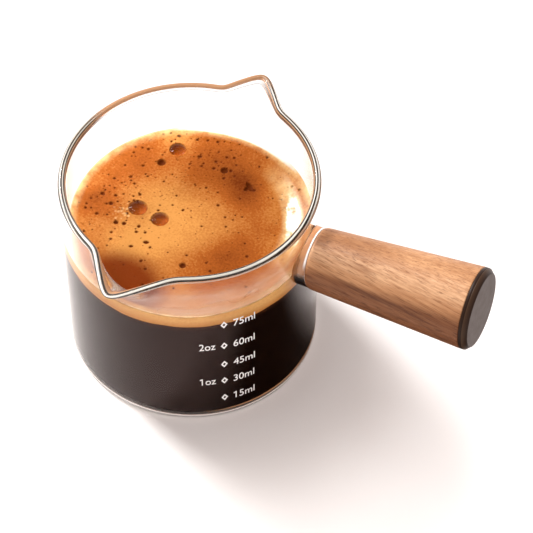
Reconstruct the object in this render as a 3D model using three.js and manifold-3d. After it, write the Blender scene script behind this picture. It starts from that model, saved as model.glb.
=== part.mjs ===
// Double espresso in a two-spout measuring glass with a turned wooden handle.
// Millimetres, +Z up. The origin is on the glass's axis under its base, and the handle points along +X.

import * as THREE from 'three';
import { mergeVertices } from 'three/addons/utils/BufferGeometryUtils.js';
import Module from 'manifold-3d';

const wasm = await Module();
wasm.setup();

// Driving dimensions of the glass
const GLASS_RADIUS = 29;
const RIM_HEIGHT = 51.2;
const WALL = 1.7;
const BASE_THICKNESS = 1.2;
const BASE_CORNER = 1.2;
const INNER_CORNER = 1;

// Pouring spouts: how far the middle of the wall reaches at a tip, and the straight flanks beside it
const SPOUT_REACH = 36.05;
const SPOUT_FOOT = 39.5;
const SPOUT_DROP = 1.4;
const SPOUT_TIP_ROUND = THREE.MathUtils.degToRad(2.7);
const SHOULDER_BLEND = 0.5;
const SPOUT_SPAN = THREE.MathUtils.degToRad(60);
const SPOUTS = [
  { azimuth: -91.9, flankBefore: 39.4, flankAfter: 45.0 },
  { azimuth: 88.7, flankBefore: 40.2, flankAfter: 29.9 },
];

// Levels of the drink, and the clearance between neighbouring pieces
const CLEARANCE = 0.3;
const COFFEE_LEVEL = 33.7;
const CREMA_LEVEL = 36.9;
const MENISCUS_RISE = 0.5;
const MENISCUS_WIDTH = 2.5;

// Open bubbles in the crema: place on its surface and diameter
const BUBBLES = [
  { x: -12.2, y: -2.3, diameter: 4.3 },
  { x: -6.2, y: -3.1, diameter: 4.0 },
  { x: -12.1, y: 17.3, diameter: 3.8 },
  { x: -13.7, y: 12.2, diameter: 2.1 },
  { x: 0.4, y: 16.3, diameter: 1.9 },
  { x: 4.4, y: -12.7, diameter: 1.6 },
];
const BUBBLE_DEPTH = 0.38;

// Handle: its axis leaves the glass's axis at a height, tilted up, and distances run along it
const HANDLE_HEIGHT = 37.46;
const HANDLE_TILT = THREE.MathUtils.degToRad(4.5);
const BOSS_RADIUS = 6.8;
const WOOD_START = 31.2;
const WOOD_START_RADIUS = 7.1;
const WOOD_END = 68.25;
const WOOD_END_RADIUS = 9.2;
const WOOD_ROUND = 1;
const CAP_END = 70.1;
const CAP_FACE_RADIUS = 8.25;
const CAP_BAND = 0.7;

// Facets: steps around the glass, the drink and the handle
const GLASS_STEPS = 120;
const DRINK_STEPS = 72;
const HANDLE_STEPS = 40;
const SPOUT_LEVELS = 6;
const STEP_CROWDING = 0.25;

const FINISHES = {
  glass_cup: { color: 0xf2f5f4, roughness: 0.03, metalness: 0, transparent: true, opacity: 0.35 },
  coffee: { color: 0x1c0d08, roughness: 0.15, metalness: 0 },
  crema: { color: 0xc07a38, roughness: 0.55, metalness: 0 },
  handle_boss: { color: 0xf2f5f4, roughness: 0.03, metalness: 0, transparent: true, opacity: 0.35 },
  handle_wood: { color: 0xb98258, roughness: 0.5, metalness: 0 },
  handle_cap: { color: 0x33261e, roughness: 0.45, metalness: 0 },
};

const INNER_RADIUS = GLASS_RADIUS - WALL;
const WALL_MIDDLE = GLASS_RADIUS - WALL / 2;
const DRINK_RADIUS = INNER_RADIUS - CLEARANCE;

// A named mesh with its own finish.
function piece(name, geometry) {
  const mesh = new THREE.Mesh(geometry, new THREE.MeshStandardMaterial(FINISHES[name]));
  mesh.name = name;
  return mesh;
}

// Points of an arc in a profile's plane, from one angle to another in degrees, both ends included.
function arc(centreRadius, centreHeight, radius, from, to, steps) {
  const points = [];
  for (let i = 0; i <= steps; i += 1) {
    const angle = THREE.MathUtils.degToRad(from + ((to - from) * i) / steps);
    const across = centreRadius + radius * Math.cos(angle);
    points.push(new THREE.Vector2(across, centreHeight + radius * Math.sin(angle)));
  }
  return points;
}

// A closed turned body about +Z, with shared vertices merged so that only positions are left.
function turned(profile, steps) {
  const geometry = new THREE.LatheGeometry(profile, steps);
  geometry.rotateX(Math.PI / 2);
  return positionsOnly(geometry);
}

function positionsOnly(geometry) {
  geometry.deleteAttribute('normal');
  geometry.deleteAttribute('uv');
  return mergeVertices(geometry);
}

// How far the middle of the wall is drawn out at the rim, at an azimuth. A flank is a straight line that
// leaves the tip at its flank angle, which in polar form is reach * sin(flank) / sin(flank + turn).
// A soft maximum blends it into the round wall at the shoulder.
function drawnOut(azimuth) {
  let total = 0;
  for (const spout of SPOUTS) {
    const offset = azimuth - THREE.MathUtils.degToRad(spout.azimuth);
    const turn = Math.atan2(Math.sin(offset), Math.cos(offset));
    if (Math.abs(turn) > SPOUT_SPAN) continue;
    const flank = THREE.MathUtils.degToRad(turn < 0 ? spout.flankBefore : spout.flankAfter);
    const rounded = Math.hypot(turn, SPOUT_TIP_ROUND) - SPOUT_TIP_ROUND;
    const line = (SPOUT_REACH * Math.sin(flank)) / Math.sin(Math.min(flank + rounded, Math.PI / 2));
    total += SHOULDER_BLEND * Math.log1p(Math.exp((line - WALL_MIDDLE) / SHOULDER_BLEND));
  }
  return total;
}

// Share of the draw at a height: none up to the spout's foot, then leaning out to the whole at the rim.
function drawShare(height) {
  const t = THREE.MathUtils.clamp((height - SPOUT_FOOT) / (RIM_HEIGHT - SPOUT_FOOT), 0, 1);
  return (t * t * (3 - t)) / 2;
}

// Moves a turned glass's vertices to the drawn wall: each keeps its distance from the wall's middle line,
// measured square to that line, and the rim dips in step with the draw.
function drawSpouts(geometry) {
  const position = geometry.getAttribute('position');
  const nudge = 1e-4;
  for (let i = 0; i < position.count; i += 1) {
    const x = position.getX(i);
    const y = position.getY(i);
    const z = position.getZ(i);
    const plain = Math.atan2(y, x);
    const azimuth = plain + STEP_CROWDING * Math.sin(2 * plain);
    const share = drawShare(z);
    const draw = drawnOut(azimuth);
    const middle = WALL_MIDDLE + share * draw;
    const slope = (share * (drawnOut(azimuth + nudge) - drawnOut(azimuth - nudge))) / (2 * nudge);
    const lean = Math.atan2(slope, middle);
    const offset = Math.hypot(x, y) - WALL_MIDDLE;
    const normal = azimuth - lean;
    const dip = (SPOUT_DROP * share * draw) / (SPOUT_REACH - WALL_MIDDLE);
    position.setXYZ(
      i,
      middle * Math.cos(azimuth) + offset * Math.cos(normal),
      middle * Math.sin(azimuth) + offset * Math.sin(normal),
      z - dip,
    );
  }
  return geometry;
}

// The glass: flat base, straight wall and a fire-polished rim, with both spouts drawn out of it.
function glassCup() {
  const bead = WALL / 2;
  const wallTop = RIM_HEIGHT - bead;
  const levels = [];
  for (let i = 0; i < SPOUT_LEVELS; i += 1) {
    levels.push(SPOUT_FOOT + ((wallTop - SPOUT_FOOT) * i) / SPOUT_LEVELS);
  }
  const outer = levels.map((level) => new THREE.Vector2(GLASS_RADIUS, level));
  const inner = levels.map((level) => new THREE.Vector2(INNER_RADIUS, level)).reverse();
  const profile = [
    new THREE.Vector2(0, 0),
    ...arc(GLASS_RADIUS - BASE_CORNER, BASE_CORNER, BASE_CORNER, -90, 0, 3),
    ...outer,
    ...arc(WALL_MIDDLE, wallTop, bead, 0, 180, 6),
    ...inner,
    ...arc(INNER_RADIUS - INNER_CORNER, BASE_THICKNESS + INNER_CORNER, INNER_CORNER, 0, -90, 4),
    new THREE.Vector2(0, BASE_THICKNESS),
  ];
  return piece('glass_cup', drawSpouts(turned(profile, GLASS_STEPS)));
}

// The coffee fills the glass from its floor to the underside of the crema.
function coffee() {
  const floor = BASE_THICKNESS + CLEARANCE;
  const top = COFFEE_LEVEL - CLEARANCE / 2;
  const profile = [
    new THREE.Vector2(0, floor),
    ...arc(DRINK_RADIUS - INNER_CORNER, floor + INNER_CORNER, INNER_CORNER, -90, 0, 4),
    new THREE.Vector2(DRINK_RADIUS, top),
    new THREE.Vector2(0, top),
  ];
  return piece('coffee', turned(profile, DRINK_STEPS));
}

function solid(geometry) {
  const mesh = new wasm.Mesh({
    numProp: 3,
    vertProperties: new Float32Array(geometry.getAttribute('position').array),
    triVerts: new Uint32Array(geometry.getIndex().array),
  });
  return new wasm.Manifold(mesh);
}

function fromSolid(body) {
  const mesh = body.getMesh();
  const geometry = new THREE.BufferGeometry();
  geometry.setAttribute('position', new THREE.BufferAttribute(new Float32Array(mesh.vertProperties), 3));
  geometry.setIndex(new THREE.BufferAttribute(new Uint32Array(mesh.triVerts), 1));
  return geometry;
}

// A ball that leaves an open bubble of the given width and depth when it is cut from a level surface.
function bubbleCutter({ x, y, diameter }) {
  const half = diameter / 2;
  const depth = BUBBLE_DEPTH * diameter;
  const radius = (half * half + depth * depth) / (2 * depth);
  const ball = positionsOnly(new THREE.SphereGeometry(radius, 18, 12));
  ball.translate(x, y, CREMA_LEVEL - depth + radius);
  return solid(ball);
}

// The crema lies on the coffee, climbs a little at the glass, and holds the largest open bubbles.
function crema() {
  const underside = COFFEE_LEVEL + CLEARANCE / 2;
  const edgeStart = DRINK_RADIUS - MENISCUS_WIDTH;
  const climbSteps = 4;
  const profile = [new THREE.Vector2(0, underside), new THREE.Vector2(DRINK_RADIUS, underside)];
  for (let i = climbSteps; i >= 0; i -= 1) {
    const t = i / climbSteps;
    profile.push(new THREE.Vector2(edgeStart + MENISCUS_WIDTH * t, CREMA_LEVEL + MENISCUS_RISE * t * t));
  }
  profile.push(new THREE.Vector2(0, CREMA_LEVEL));
  let body = solid(turned(profile, DRINK_STEPS));
  for (const bubble of BUBBLES) body = body.subtract(bubbleCutter(bubble));
  return piece('crema', fromSolid(body));
}

// A turned piece of the handle, with its axis along +X.
function handleTurned(profile) {
  const geometry = turned(profile, HANDLE_STEPS);
  geometry.rotateY(Math.PI / 2);
  return geometry;
}

// The clear glass boss that carries the wood, with its inner end hollowed to the round of the glass.
function handleBoss(toGlass) {
  const end = WOOD_START - CLEARANCE;
  const inside = INNER_RADIUS;
  const profile = [
    new THREE.Vector2(0, inside),
    new THREE.Vector2(BOSS_RADIUS, inside),
    new THREE.Vector2(BOSS_RADIUS, end),
    new THREE.Vector2(0, end),
  ];
  const cutterRadius = GLASS_RADIUS + CLEARANCE;
  const cutter = new THREE.CylinderGeometry(cutterRadius, cutterRadius, RIM_HEIGHT, GLASS_STEPS);
  cutter.rotateX(Math.PI / 2);
  cutter.translate(0, 0, RIM_HEIGHT / 2);
  cutter.applyMatrix4(toGlass);
  const blank = solid(handleTurned(profile));
  return piece('handle_boss', fromSolid(blank.subtract(solid(positionsOnly(cutter)))));
}

// The wooden grip widens away from the glass and has a rounded near end.
function handleWood() {
  const profile = [
    new THREE.Vector2(0, WOOD_START),
    ...arc(WOOD_START_RADIUS - WOOD_ROUND, WOOD_START + WOOD_ROUND, WOOD_ROUND, -90, 0, 3),
    new THREE.Vector2(WOOD_END_RADIUS, WOOD_END),
    new THREE.Vector2(0, WOOD_END),
  ];
  return piece('handle_wood', handleTurned(profile));
}

// The end cap: a narrow straight band, then a bevel to its flat face.
function handleCap() {
  const start = WOOD_END + CLEARANCE;
  const profile = [
    new THREE.Vector2(0, start),
    new THREE.Vector2(WOOD_END_RADIUS, start),
    new THREE.Vector2(WOOD_END_RADIUS, start + CAP_BAND),
    new THREE.Vector2(CAP_FACE_RADIUS, CAP_END),
    new THREE.Vector2(0, CAP_END),
  ];
  return piece('handle_cap', handleTurned(profile));
}

function handle() {
  const group = new THREE.Group();
  group.position.z = HANDLE_HEIGHT;
  group.rotation.y = -HANDLE_TILT;
  group.updateMatrix();
  group.add(handleBoss(group.matrix.clone().invert()), handleWood(), handleCap());
  return group;
}

const drink = new THREE.Group();
drink.add(glassCup(), coffee(), crema(), handle());

export default drink;
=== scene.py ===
"""Dresses a double espresso: a clear two-spout glass, coffee, crema, a volume scale and a wooden handle.

Sizes are in millimetres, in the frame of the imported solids: +Z up, the origin under the glass's base and
the handle along +X. Meshes are turned into metres when they are made.
"""

import logging
import math
from dataclasses import dataclass
from enum import Enum

import bpy
import numpy as np
from mathutils import Matrix, Vector

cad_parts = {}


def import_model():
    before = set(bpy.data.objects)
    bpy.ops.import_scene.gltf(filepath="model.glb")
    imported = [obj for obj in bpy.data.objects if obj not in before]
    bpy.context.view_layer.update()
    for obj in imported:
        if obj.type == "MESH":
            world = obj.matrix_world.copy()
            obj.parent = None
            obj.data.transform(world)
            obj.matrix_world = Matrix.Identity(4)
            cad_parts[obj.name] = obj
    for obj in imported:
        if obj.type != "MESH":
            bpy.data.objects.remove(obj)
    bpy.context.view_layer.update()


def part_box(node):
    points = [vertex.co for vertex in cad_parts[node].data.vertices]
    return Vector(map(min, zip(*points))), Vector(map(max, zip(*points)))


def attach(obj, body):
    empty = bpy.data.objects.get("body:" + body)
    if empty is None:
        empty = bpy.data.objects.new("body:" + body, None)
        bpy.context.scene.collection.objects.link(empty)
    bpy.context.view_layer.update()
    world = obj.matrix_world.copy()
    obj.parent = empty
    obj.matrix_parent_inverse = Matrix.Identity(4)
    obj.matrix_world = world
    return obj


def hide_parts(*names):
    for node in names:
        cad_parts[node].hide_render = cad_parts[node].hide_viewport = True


LOG = logging.getLogger("double_espresso")
MM = 0.001
TINY = 1e-6
BODY = "root"
Array = np.ndarray
Values = Array | float
Masks = dict[str, Array]
Pair = tuple[float, float]
Triple = tuple[float, float, float]
Colour = Triple
Socket = bpy.types.NodeSocket
WHITE: Colour = (1.0, 1.0, 1.0)


class Slot(Enum):
    """Material slot names, which no piece in this script uses."""

    GLASS = "glass"
    COFFEE = "coffee"
    CREMA = "crema"
    WOOD = "wood"
    CAP = "cap"


@dataclass
class Surface:
    """A mesh as whole arrays: points in millimetres, four-sided faces and three-sided faces."""

    points: Array
    quads: Array
    triangles: Array

    def joined(self, other: "Surface") -> "Surface":
        """Puts another surface after this one.

        Args:
            other: The surface that is added.

        Returns:
            One surface with the points and faces of both.
        """
        shift = len(self.points)
        return Surface(
            np.concatenate([self.points, other.points]),
            np.concatenate([self.quads, other.quads + shift]),
            np.concatenate([self.triangles, other.triangles + shift]),
        )


NO_QUADS = np.zeros((0, 4), dtype=np.int64)
NO_TRIANGLES = np.zeros((0, 3), dtype=np.int64)
NOTHING = Surface(np.zeros((0, 3)), NO_QUADS, NO_TRIANGLES)


def row_faces(rows: Array) -> Array:
    """Four-sided faces between rows of point numbers, each row closing on itself."""
    along = np.roll(rows, -1, axis=1)
    return np.stack([rows[:-1], along[:-1], along[1:], rows[1:]], axis=-1).reshape(-1, 4)


def ring_faces(rings: int, steps: int) -> Array:
    """Four-sided faces of a stack of rings with the same number of points on each."""
    return row_faces(np.arange(rings * steps).reshape(rings, steps))


def grid_faces(grid: Array) -> Array:
    """Four-sided faces of an open grid of point numbers."""
    around = [grid[:-1, :-1], grid[1:, :-1], grid[1:, 1:], grid[:-1, 1:]]
    return np.stack(around, axis=-1).reshape(-1, 4)


def capped_rings(rings: Array, first_pole: Array, last_pole: Array) -> Surface:
    """Closes a stack of rings with a fan of triangles at each end.

    Args:
        rings: Points of shape (rings, steps, 3), each ring anticlockwise seen from its last pole.
        first_pole: The point that closes the first ring.
        last_pole: The point that closes the last ring.

    Returns:
        The closed surface, with its faces pointing out.
    """
    count, steps = rings.shape[:2]
    points = np.concatenate([rings.reshape(-1, 3), first_pole[None], last_pole[None]])
    start = np.arange(steps)
    end = start + (count - 1) * steps
    low = np.full(steps, count * steps)
    fan_low = np.stack([low, np.roll(start, -1), start], axis=-1)
    fan_high = np.stack([low + 1, end, np.roll(end, -1)], axis=-1)
    return Surface(points, ring_faces(count, steps), np.concatenate([fan_low, fan_high]))


def thin_skin(rings: Array, inwards: bool = False) -> Surface:
    """Closes rings that run out along one side of a skin and back along the other.

    Args:
        rings: Points of shape (rings, steps, 3).
        inwards: True if the rings run round their section the other way.

    Returns:
        The closed surface, with its faces pointing out.
    """
    count, steps = rings.shape[:2]
    faces = ring_faces(count + 1, steps) % (count * steps)
    return Surface(rings.reshape(-1, 3), faces[:, ::-1] if inwards else faces, NO_TRIANGLES)


def out_and_back(outer: Array, inner: Array) -> Array:
    """Rows of a thin skin's section: out along one side and back along the other."""
    return np.concatenate([outer, inner[::-1]])


def full_turn(steps: int) -> Array:
    """Even angles of one whole turn."""
    return np.linspace(0.0, 2.0 * np.pi, steps, endpoint=False)


def carried_round(section: Array, steps: int) -> Array:
    """Carries a section round the +Z axis: x = r cos a, y = r sin a, z = h for every angle a.

    Args:
        section: Radius and height of each point.
        steps: Number of angles round the axis.

    Returns:
        The points, one ring for each point of the section.
    """
    angle = full_turn(steps)
    radius = section[:, 0, None]
    height = np.broadcast_to(section[:, 1, None], (len(section), steps))
    return np.stack([radius * np.cos(angle), radius * np.sin(angle), height], axis=-1)


def turned(profile: Array, steps: int) -> Surface:
    """The closed body of a profile carried round the +Z axis, its first and last points on the axis."""
    poles = np.array([[0.0, 0.0, profile[0, 1]], [0.0, 0.0, profile[-1, 1]]])
    return capped_rings(carried_round(profile[1:-1], steps), *poles)


def arc(centre: Pair, radius: float, start: float, end: float, steps: int) -> Array:
    """Points of an arc in a profile's plane, both ends included.

    Args:
        centre: Radius and height of the arc's centre.
        radius: The arc's own radius.
        start: Angle of the first point, in degrees from the outward direction.
        end: Angle of the last point.
        steps: Number of steps between them.

    Returns:
        The arc's points as radius and height.
    """
    angle = np.radians(np.linspace(start, end, steps + 1))
    return np.asarray(centre) + radius * np.stack([np.cos(angle), np.sin(angle)], axis=-1)


def line(start: Pair, end: Pair, steps: int) -> Array:
    """Points of a straight stretch of a profile, without its last one.

    Args:
        start: Radius and height of the first point.
        end: Radius and height that the stretch runs to.
        steps: Number of points.

    Returns:
        The stretch's points as radius and height.
    """
    share = np.linspace(0.0, 1.0, steps, endpoint=False)[:, None]
    return np.asarray(start) * (1.0 - share) + np.asarray(end) * share


def rise(value: Array, low: float, high: float) -> Array:
    """Rises smoothly from 0 at low to 1 at high, by 3 t squared minus 2 t cubed."""
    share = np.clip((value - low) / (high - low), 0.0, 1.0)
    return share * share * (3.0 - 2.0 * share)


def fall(value: Array, low: float, high: float) -> Array:
    """Falls smoothly from 1 at low to 0 at high."""
    return rise(-value, -high, -low)


def bell(value: Array, middle: Values, half: Values, power: int = 2) -> Array:
    """Falls from 1 at the middle to either side, by e to the minus t to the power, t being 1 at half."""
    return np.exp(-(((value - middle) / half) ** power))


def turn_from(azimuth: Array, middle: float) -> Array:
    """Angle from one azimuth to another, the short way round."""
    return np.angle(np.exp(1j * (azimuth - middle)))


def band_masks(shape: tuple[int, int], strength: Values, copper: Values, dark: Values) -> Masks:
    """The masks that a band's finish reads, each spread over the whole grid of its points."""
    named = {"strength": strength, "copper": copper, "dark": dark}
    return {name: np.broadcast_to(values, shape).ravel() for name, values in named.items()}


def set_masks(mesh: bpy.types.Mesh, masks: Masks) -> None:
    """Gives a mesh the values for each point that its material reads by name.

    Args:
        mesh: The mesh.
        masks: The values by name.
    """
    for name, values in masks.items():
        layer = mesh.attributes.new(name, "FLOAT", "POINT")
        layer.data.foreach_set("value", values.astype(np.float32))


def add_object(name: str, data: bpy.types.ID) -> bpy.types.Object:
    """Makes an object from its data and puts it in the scene.

    Args:
        name: Its name.
        data: The mesh, curve, lamp or camera that it holds.

    Returns:
        The new object.
    """
    made = bpy.data.objects.new(name, data)
    bpy.context.scene.collection.objects.link(made)
    return made


def make_piece(
    name: str,
    surface: Surface,
    material: bpy.types.Material,
    masks: Masks | None = None,
    crease: float = math.pi,
) -> bpy.types.Object:
    """Makes a mesh object at the origin from a surface and lets it ride on the part's body.

    Args:
        name: Name of the new object.
        surface: The shape, in millimetres.
        material: Its finish.
        masks: Values for each point that the material reads by name.
        crease: Angle between two faces from which their shared edge stays sharp.

    Returns:
        The new object.
    """
    mesh = bpy.data.meshes.new(name)
    loops = np.concatenate([surface.quads.ravel(), surface.triangles.ravel()]).astype(np.int32)
    sizes = np.concatenate([np.full(len(surface.quads), 4), np.full(len(surface.triangles), 3)])
    starts = np.concatenate([[0], np.cumsum(sizes)[:-1]])
    mesh.vertices.add(len(surface.points))
    mesh.vertices.foreach_set("co", (surface.points * MM).astype(np.float32).ravel())
    mesh.loops.add(len(loops))
    mesh.loops.foreach_set("vertex_index", loops)
    mesh.polygons.add(len(sizes))
    mesh.polygons.foreach_set("loop_start", starts.astype(np.int32))
    mesh.polygons.foreach_set("use_smooth", np.ones(len(sizes), dtype=bool))
    mesh.update(calc_edges=True)
    mesh.validate()
    if crease < math.pi:
        mesh.set_sharp_from_angle(angle=crease)
    set_masks(mesh, masks or {})
    mesh.materials.append(material)
    piece = add_object(name, mesh)
    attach(piece, BODY)
    LOG.info("%s: %d points, %d faces", name, len(surface.points), len(sizes))
    return piece


def even(size: float) -> Triple:
    """The same size along all three axes."""
    return (size, size, size)


@dataclass(frozen=True)
class Pattern:
    """Noise cut to a range: units per metre along each axis, the cut, the octaves and the pattern's lie."""

    scale: Triple
    low: float
    high: float
    detail: float = 4.0
    lie: Triple = (0.0, 0.0, 0.0)


class NodeSheet:
    """A node tree with short calls for adding nodes and joining them."""

    def __init__(self, tree: bpy.types.NodeTree) -> None:
        """Keeps the tree that the nodes go into."""
        self.tree = tree

    def add(self, kind: str, settings: dict | None = None, **inputs: object) -> bpy.types.Node:
        """Adds a node.

        Args:
            kind: Blender's type name of the node.
            settings: Values of the node's own properties.
            inputs: Values or source sockets for its inputs, with underscores for blanks in their names.

        Returns:
            The new node.
        """
        node = self.tree.nodes.new(kind)
        for key, value in (settings or {}).items():
            setattr(node, key, value)
        self.fill(node, **inputs)
        return node

    def fill(self, node: bpy.types.Node, **inputs: object) -> None:
        """Sets inputs of a node by name, with underscores for blanks."""
        for key, value in inputs.items():
            self.feed(node.inputs[key.replace("_", " ")], value)

    def feed(self, socket: Socket, value: object) -> None:
        """Links a source socket to an input, or sets the input's own value.

        Args:
            socket: The input.
            value: The source socket, or a plain value or colour.
        """
        if isinstance(value, bpy.types.NodeSocket):
            self.tree.links.new(value, socket)
            return
        if isinstance(value, tuple) and socket.type == "RGBA":
            value = (*value, 1.0)
        socket.default_value = value

    def mix(self, share: object, first: object, second: object, blend: str = "MIX") -> Socket:
        """Mixes two colours.

        Args:
            share: Share of the second colour, a number or a socket.
            first: The first colour or its socket.
            second: The second colour or its socket.
            blend: Blender's name of the way of mixing.

        Returns:
            The socket of the mixed colour.
        """
        node = self.add("ShaderNodeMix", {"data_type": "RGBA", "blend_type": blend}, Factor=share)
        first_colour, second_colour = (each for each in node.inputs if each.type == "RGBA")
        self.feed(first_colour, first)
        self.feed(second_colour, second)
        return next(each for each in node.outputs if each.type == "RGBA")

    def reckon(self, operation: str, first: object, second: object, clamp: bool = True) -> Socket:
        """Works out one number from two.

        Args:
            operation: Blender's name of the operation.
            first: The first number or its socket.
            second: The second number or its socket.
            clamp: True if the result is kept between 0 and 1.

        Returns:
            The socket of the result.
        """
        node = self.add("ShaderNodeMath", {"operation": operation, "use_clamp": clamp})
        self.feed(node.inputs[0], first)
        self.feed(node.inputs[1], second)
        return node.outputs[0]

    def times(self, first: object, second: object) -> Socket:
        """The product of two numbers, kept between 0 and 1."""
        return self.reckon("MULTIPLY", first, second)

    def total(self, first: object, *others: object) -> Socket:
        """The sum of numbers, not kept in any range.

        Args:
            first: The first number's socket.
            others: The other numbers or their sockets.

        Returns:
            The socket of the sum.
        """
        for other in others:
            first = self.reckon("ADD", first, other, clamp=False)
        return first

    def span(self, value: object, low: float, high: float, to: Pair = (0.0, 1.0)) -> Socket:
        """Maps a number from one range to another, kept inside the second.

        Args:
            value: The number's socket.
            low: Start of the first range.
            high: End of the first range.
            to: Start and end of the second range.

        Returns:
            The socket of the mapped number.
        """
        ends = {"From_Min": low, "From_Max": high, "To_Min": to[0], "To_Max": to[1]}
        return self.add("ShaderNodeMapRange", Value=value, **ends).outputs["Result"]

    def between(self, share: object, low: float, high: float) -> Socket:
        """Maps a share from 0 to 1 onto a range."""
        return self.span(share, 0.0, 1.0, (low, high))

    def mask(self, name: str) -> Socket:
        """The socket of a value that the mesh holds for each point."""
        return self.add("ShaderNodeAttribute", {"attribute_name": name}).outputs["Fac"]

    def object_place(self) -> Socket:
        """The socket of the object coordinates, in metres."""
        return self.add("ShaderNodeTexCoord").outputs["Object"]

    def axis(self, name: str) -> Socket:
        """The socket of one object coordinate, by the axis's name."""
        return self.add("ShaderNodeSeparateXYZ", Vector=self.object_place()).outputs[name]

    def stretched(self, scale: Triple, lie: Triple = (0.0, 0.0, 0.0)) -> Socket:
        """Object coordinates with the angles of a lie taken out, then stretched along each axis.

        Args:
            scale: Units per metre along each axis.
            lie: Angles that the pattern is turned by.

        Returns:
            The socket of the coordinates.
        """
        back = {"vector_type": "TEXTURE"}
        level = self.add("ShaderNodeMapping", back, Vector=self.object_place(), Rotation=lie)
        return self.add("ShaderNodeMapping", Vector=level.outputs[0], Scale=scale).outputs[0]

    def mottle(self, pattern: Pattern) -> Socket:
        """Places the shared mottle and gives the socket of its mask.

        Args:
            pattern: The pattern's scale, cut, octaves and lie.

        Returns:
            The mask's socket.
        """
        where = self.stretched(pattern.scale, pattern.lie)
        cut = {"Low": pattern.low, "High": pattern.high, "Detail": pattern.detail}
        node = self.add("ShaderNodeGroup", {"node_tree": mottle_group()}, Vector=where, **cut)
        return node.outputs["Mask"]

    def bump(self, height: Socket, depth: float, strength: float) -> Socket:
        """The socket of a normal that is bent by a height between 0 and 1 over a depth."""
        node = self.add("ShaderNodeBump", Height=height, Distance=depth * MM, Strength=strength)
        return node.outputs[0]


def mottle_group() -> bpy.types.NodeTree:
    """Builds the shared mottle: noise cut to a range, as a mask that drifts between 0 and 1.

    Returns:
        The node group, made once and used by every finish that is a little uneven.
    """
    name = "mottle"
    if name in bpy.data.node_groups:
        return bpy.data.node_groups[name]
    tree = bpy.data.node_groups.new(name, "ShaderNodeTree")
    tree.interface.new_socket("Vector", in_out="INPUT", socket_type="NodeSocketVector")
    for socket in ("Detail", "Low", "High"):
        tree.interface.new_socket(socket, in_out="INPUT", socket_type="NodeSocketFloat")
    tree.interface.new_socket("Mask", in_out="OUTPUT", socket_type="NodeSocketFloat")
    sheet = NodeSheet(tree)
    given = sheet.add("NodeGroupInput").outputs
    noise = sheet.add(
        "ShaderNodeTexNoise",
        Vector=given["Vector"],
        Scale=1.0,
        Detail=given["Detail"],
        Roughness=0.55,
    )
    mask = sheet.span(noise.outputs[0], given["Low"], given["High"])
    sheet.add("NodeGroupOutput", Mask=mask)
    return tree


@dataclass(frozen=True)
class Finish:
    """A plain finish that the others build on: a name and a new material with one Principled shader."""

    name: str

    def start(self) -> tuple[bpy.types.Material, NodeSheet, bpy.types.Node]:
        """Makes the material.

        Returns:
            The material, its node sheet and its Principled shader.
        """
        material = bpy.data.materials.new(self.name)
        material.use_nodes = True
        sheet = NodeSheet(material.node_tree)
        return material, sheet, material.node_tree.nodes["Principled BSDF"]


@dataclass(frozen=True)
class ClearFinish(Finish):
    """Clear glass or a clear film, which lets the light of the lamps through to what it holds."""

    ior: float = 1.42
    glint: Colour = (0.44, 0.11, 0.07)
    shade: Colour = (0.95, 0.93, 0.92)

    def material(self) -> bpy.types.Material:
        """Makes the clear material.

        Returns:
            The material.
        """
        material, sheet, shader = self.start()
        sheet.fill(shader, Base_Color=WHITE, Roughness=0.0, IOR=self.ior)
        sheet.fill(shader, Specular_Tint=self.glint, Transmission_Weight=1.0)
        through = sheet.add("ShaderNodeBsdfTransparent", Color=self.shade)
        in_shadow = sheet.add("ShaderNodeLightPath").outputs["Is Shadow Ray"]
        either = sheet.add("ShaderNodeMixShader")
        for socket, source in zip(either.inputs, (in_shadow, shader.outputs[0], through.outputs[0])):
            sheet.feed(socket, source)
        sheet.fill(material.node_tree.nodes["Material Output"], Surface=either.outputs[0])
        return material


@dataclass(frozen=True)
class DrinkFinish(Finish):
    """What coffee and crema share: the level where they meet and the painted tone of a lit edge seen in the
    wall.
    """

    level: float = 33.7
    painted_pale_edge: Colour = (0.62, 0.56, 0.52)
    painted_copper_edge: Colour = (0.38, 0.22, 0.15)
    edge_change: Pair = (-6.0, 8.0)
    edge_turns: float = 2.5

    def painted_edge_light(self, sheet: NodeSheet, colour: object) -> Socket:
        """Paints the drink in the tone of a lit edge where rays have turned several times inside the glass's
        wall.

        Args:
            sheet: The finish's node sheet.
            colour: The drink's own colour.

        Returns:
            The socket of the colour, painted pale light on the near side and painted copper light on the far
            side.
        """
        low, high = self.edge_change
        # Painted light: only rays that have bounced inside the glass see the pale or copper tone.
        edge = sheet.mix(sheet.span(sheet.axis("Y"), low * MM, high * MM), self.painted_pale_edge, self.painted_copper_edge)
        turns = sheet.add("ShaderNodeLightPath").outputs["Ray Depth"]
        return sheet.mix(sheet.reckon("GREATER_THAN", turns, self.edge_turns), colour, edge)


@dataclass(frozen=True)
class CoffeeFinish(DrinkFinish):
    """Near-black brown coffee, a little warmer just under the crema."""

    deep: Colour = (0.0095, 0.0030, 0.0012)
    warm: Colour = (0.05, 0.016, 0.006)
    warm_depth: float = 1.6
    cloud: Pattern = Pattern(even(90.0), 0.3, 0.7)

    def material(self) -> bpy.types.Material:
        """Makes the coffee's material.

        Returns:
            The material.
        """
        material, sheet, shader = self.start()
        near_top = sheet.span(sheet.axis("Z"), (self.level - self.warm_depth) * MM, self.level * MM)
        body = sheet.mix(near_top, self.deep, self.warm)
        gloss = sheet.between(sheet.mottle(self.cloud), 0.45, 0.55)
        sheet.fill(shader, Base_Color=self.painted_edge_light(sheet, body), Roughness=gloss, Specular_IOR_Level=0.0)
        return material


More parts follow.
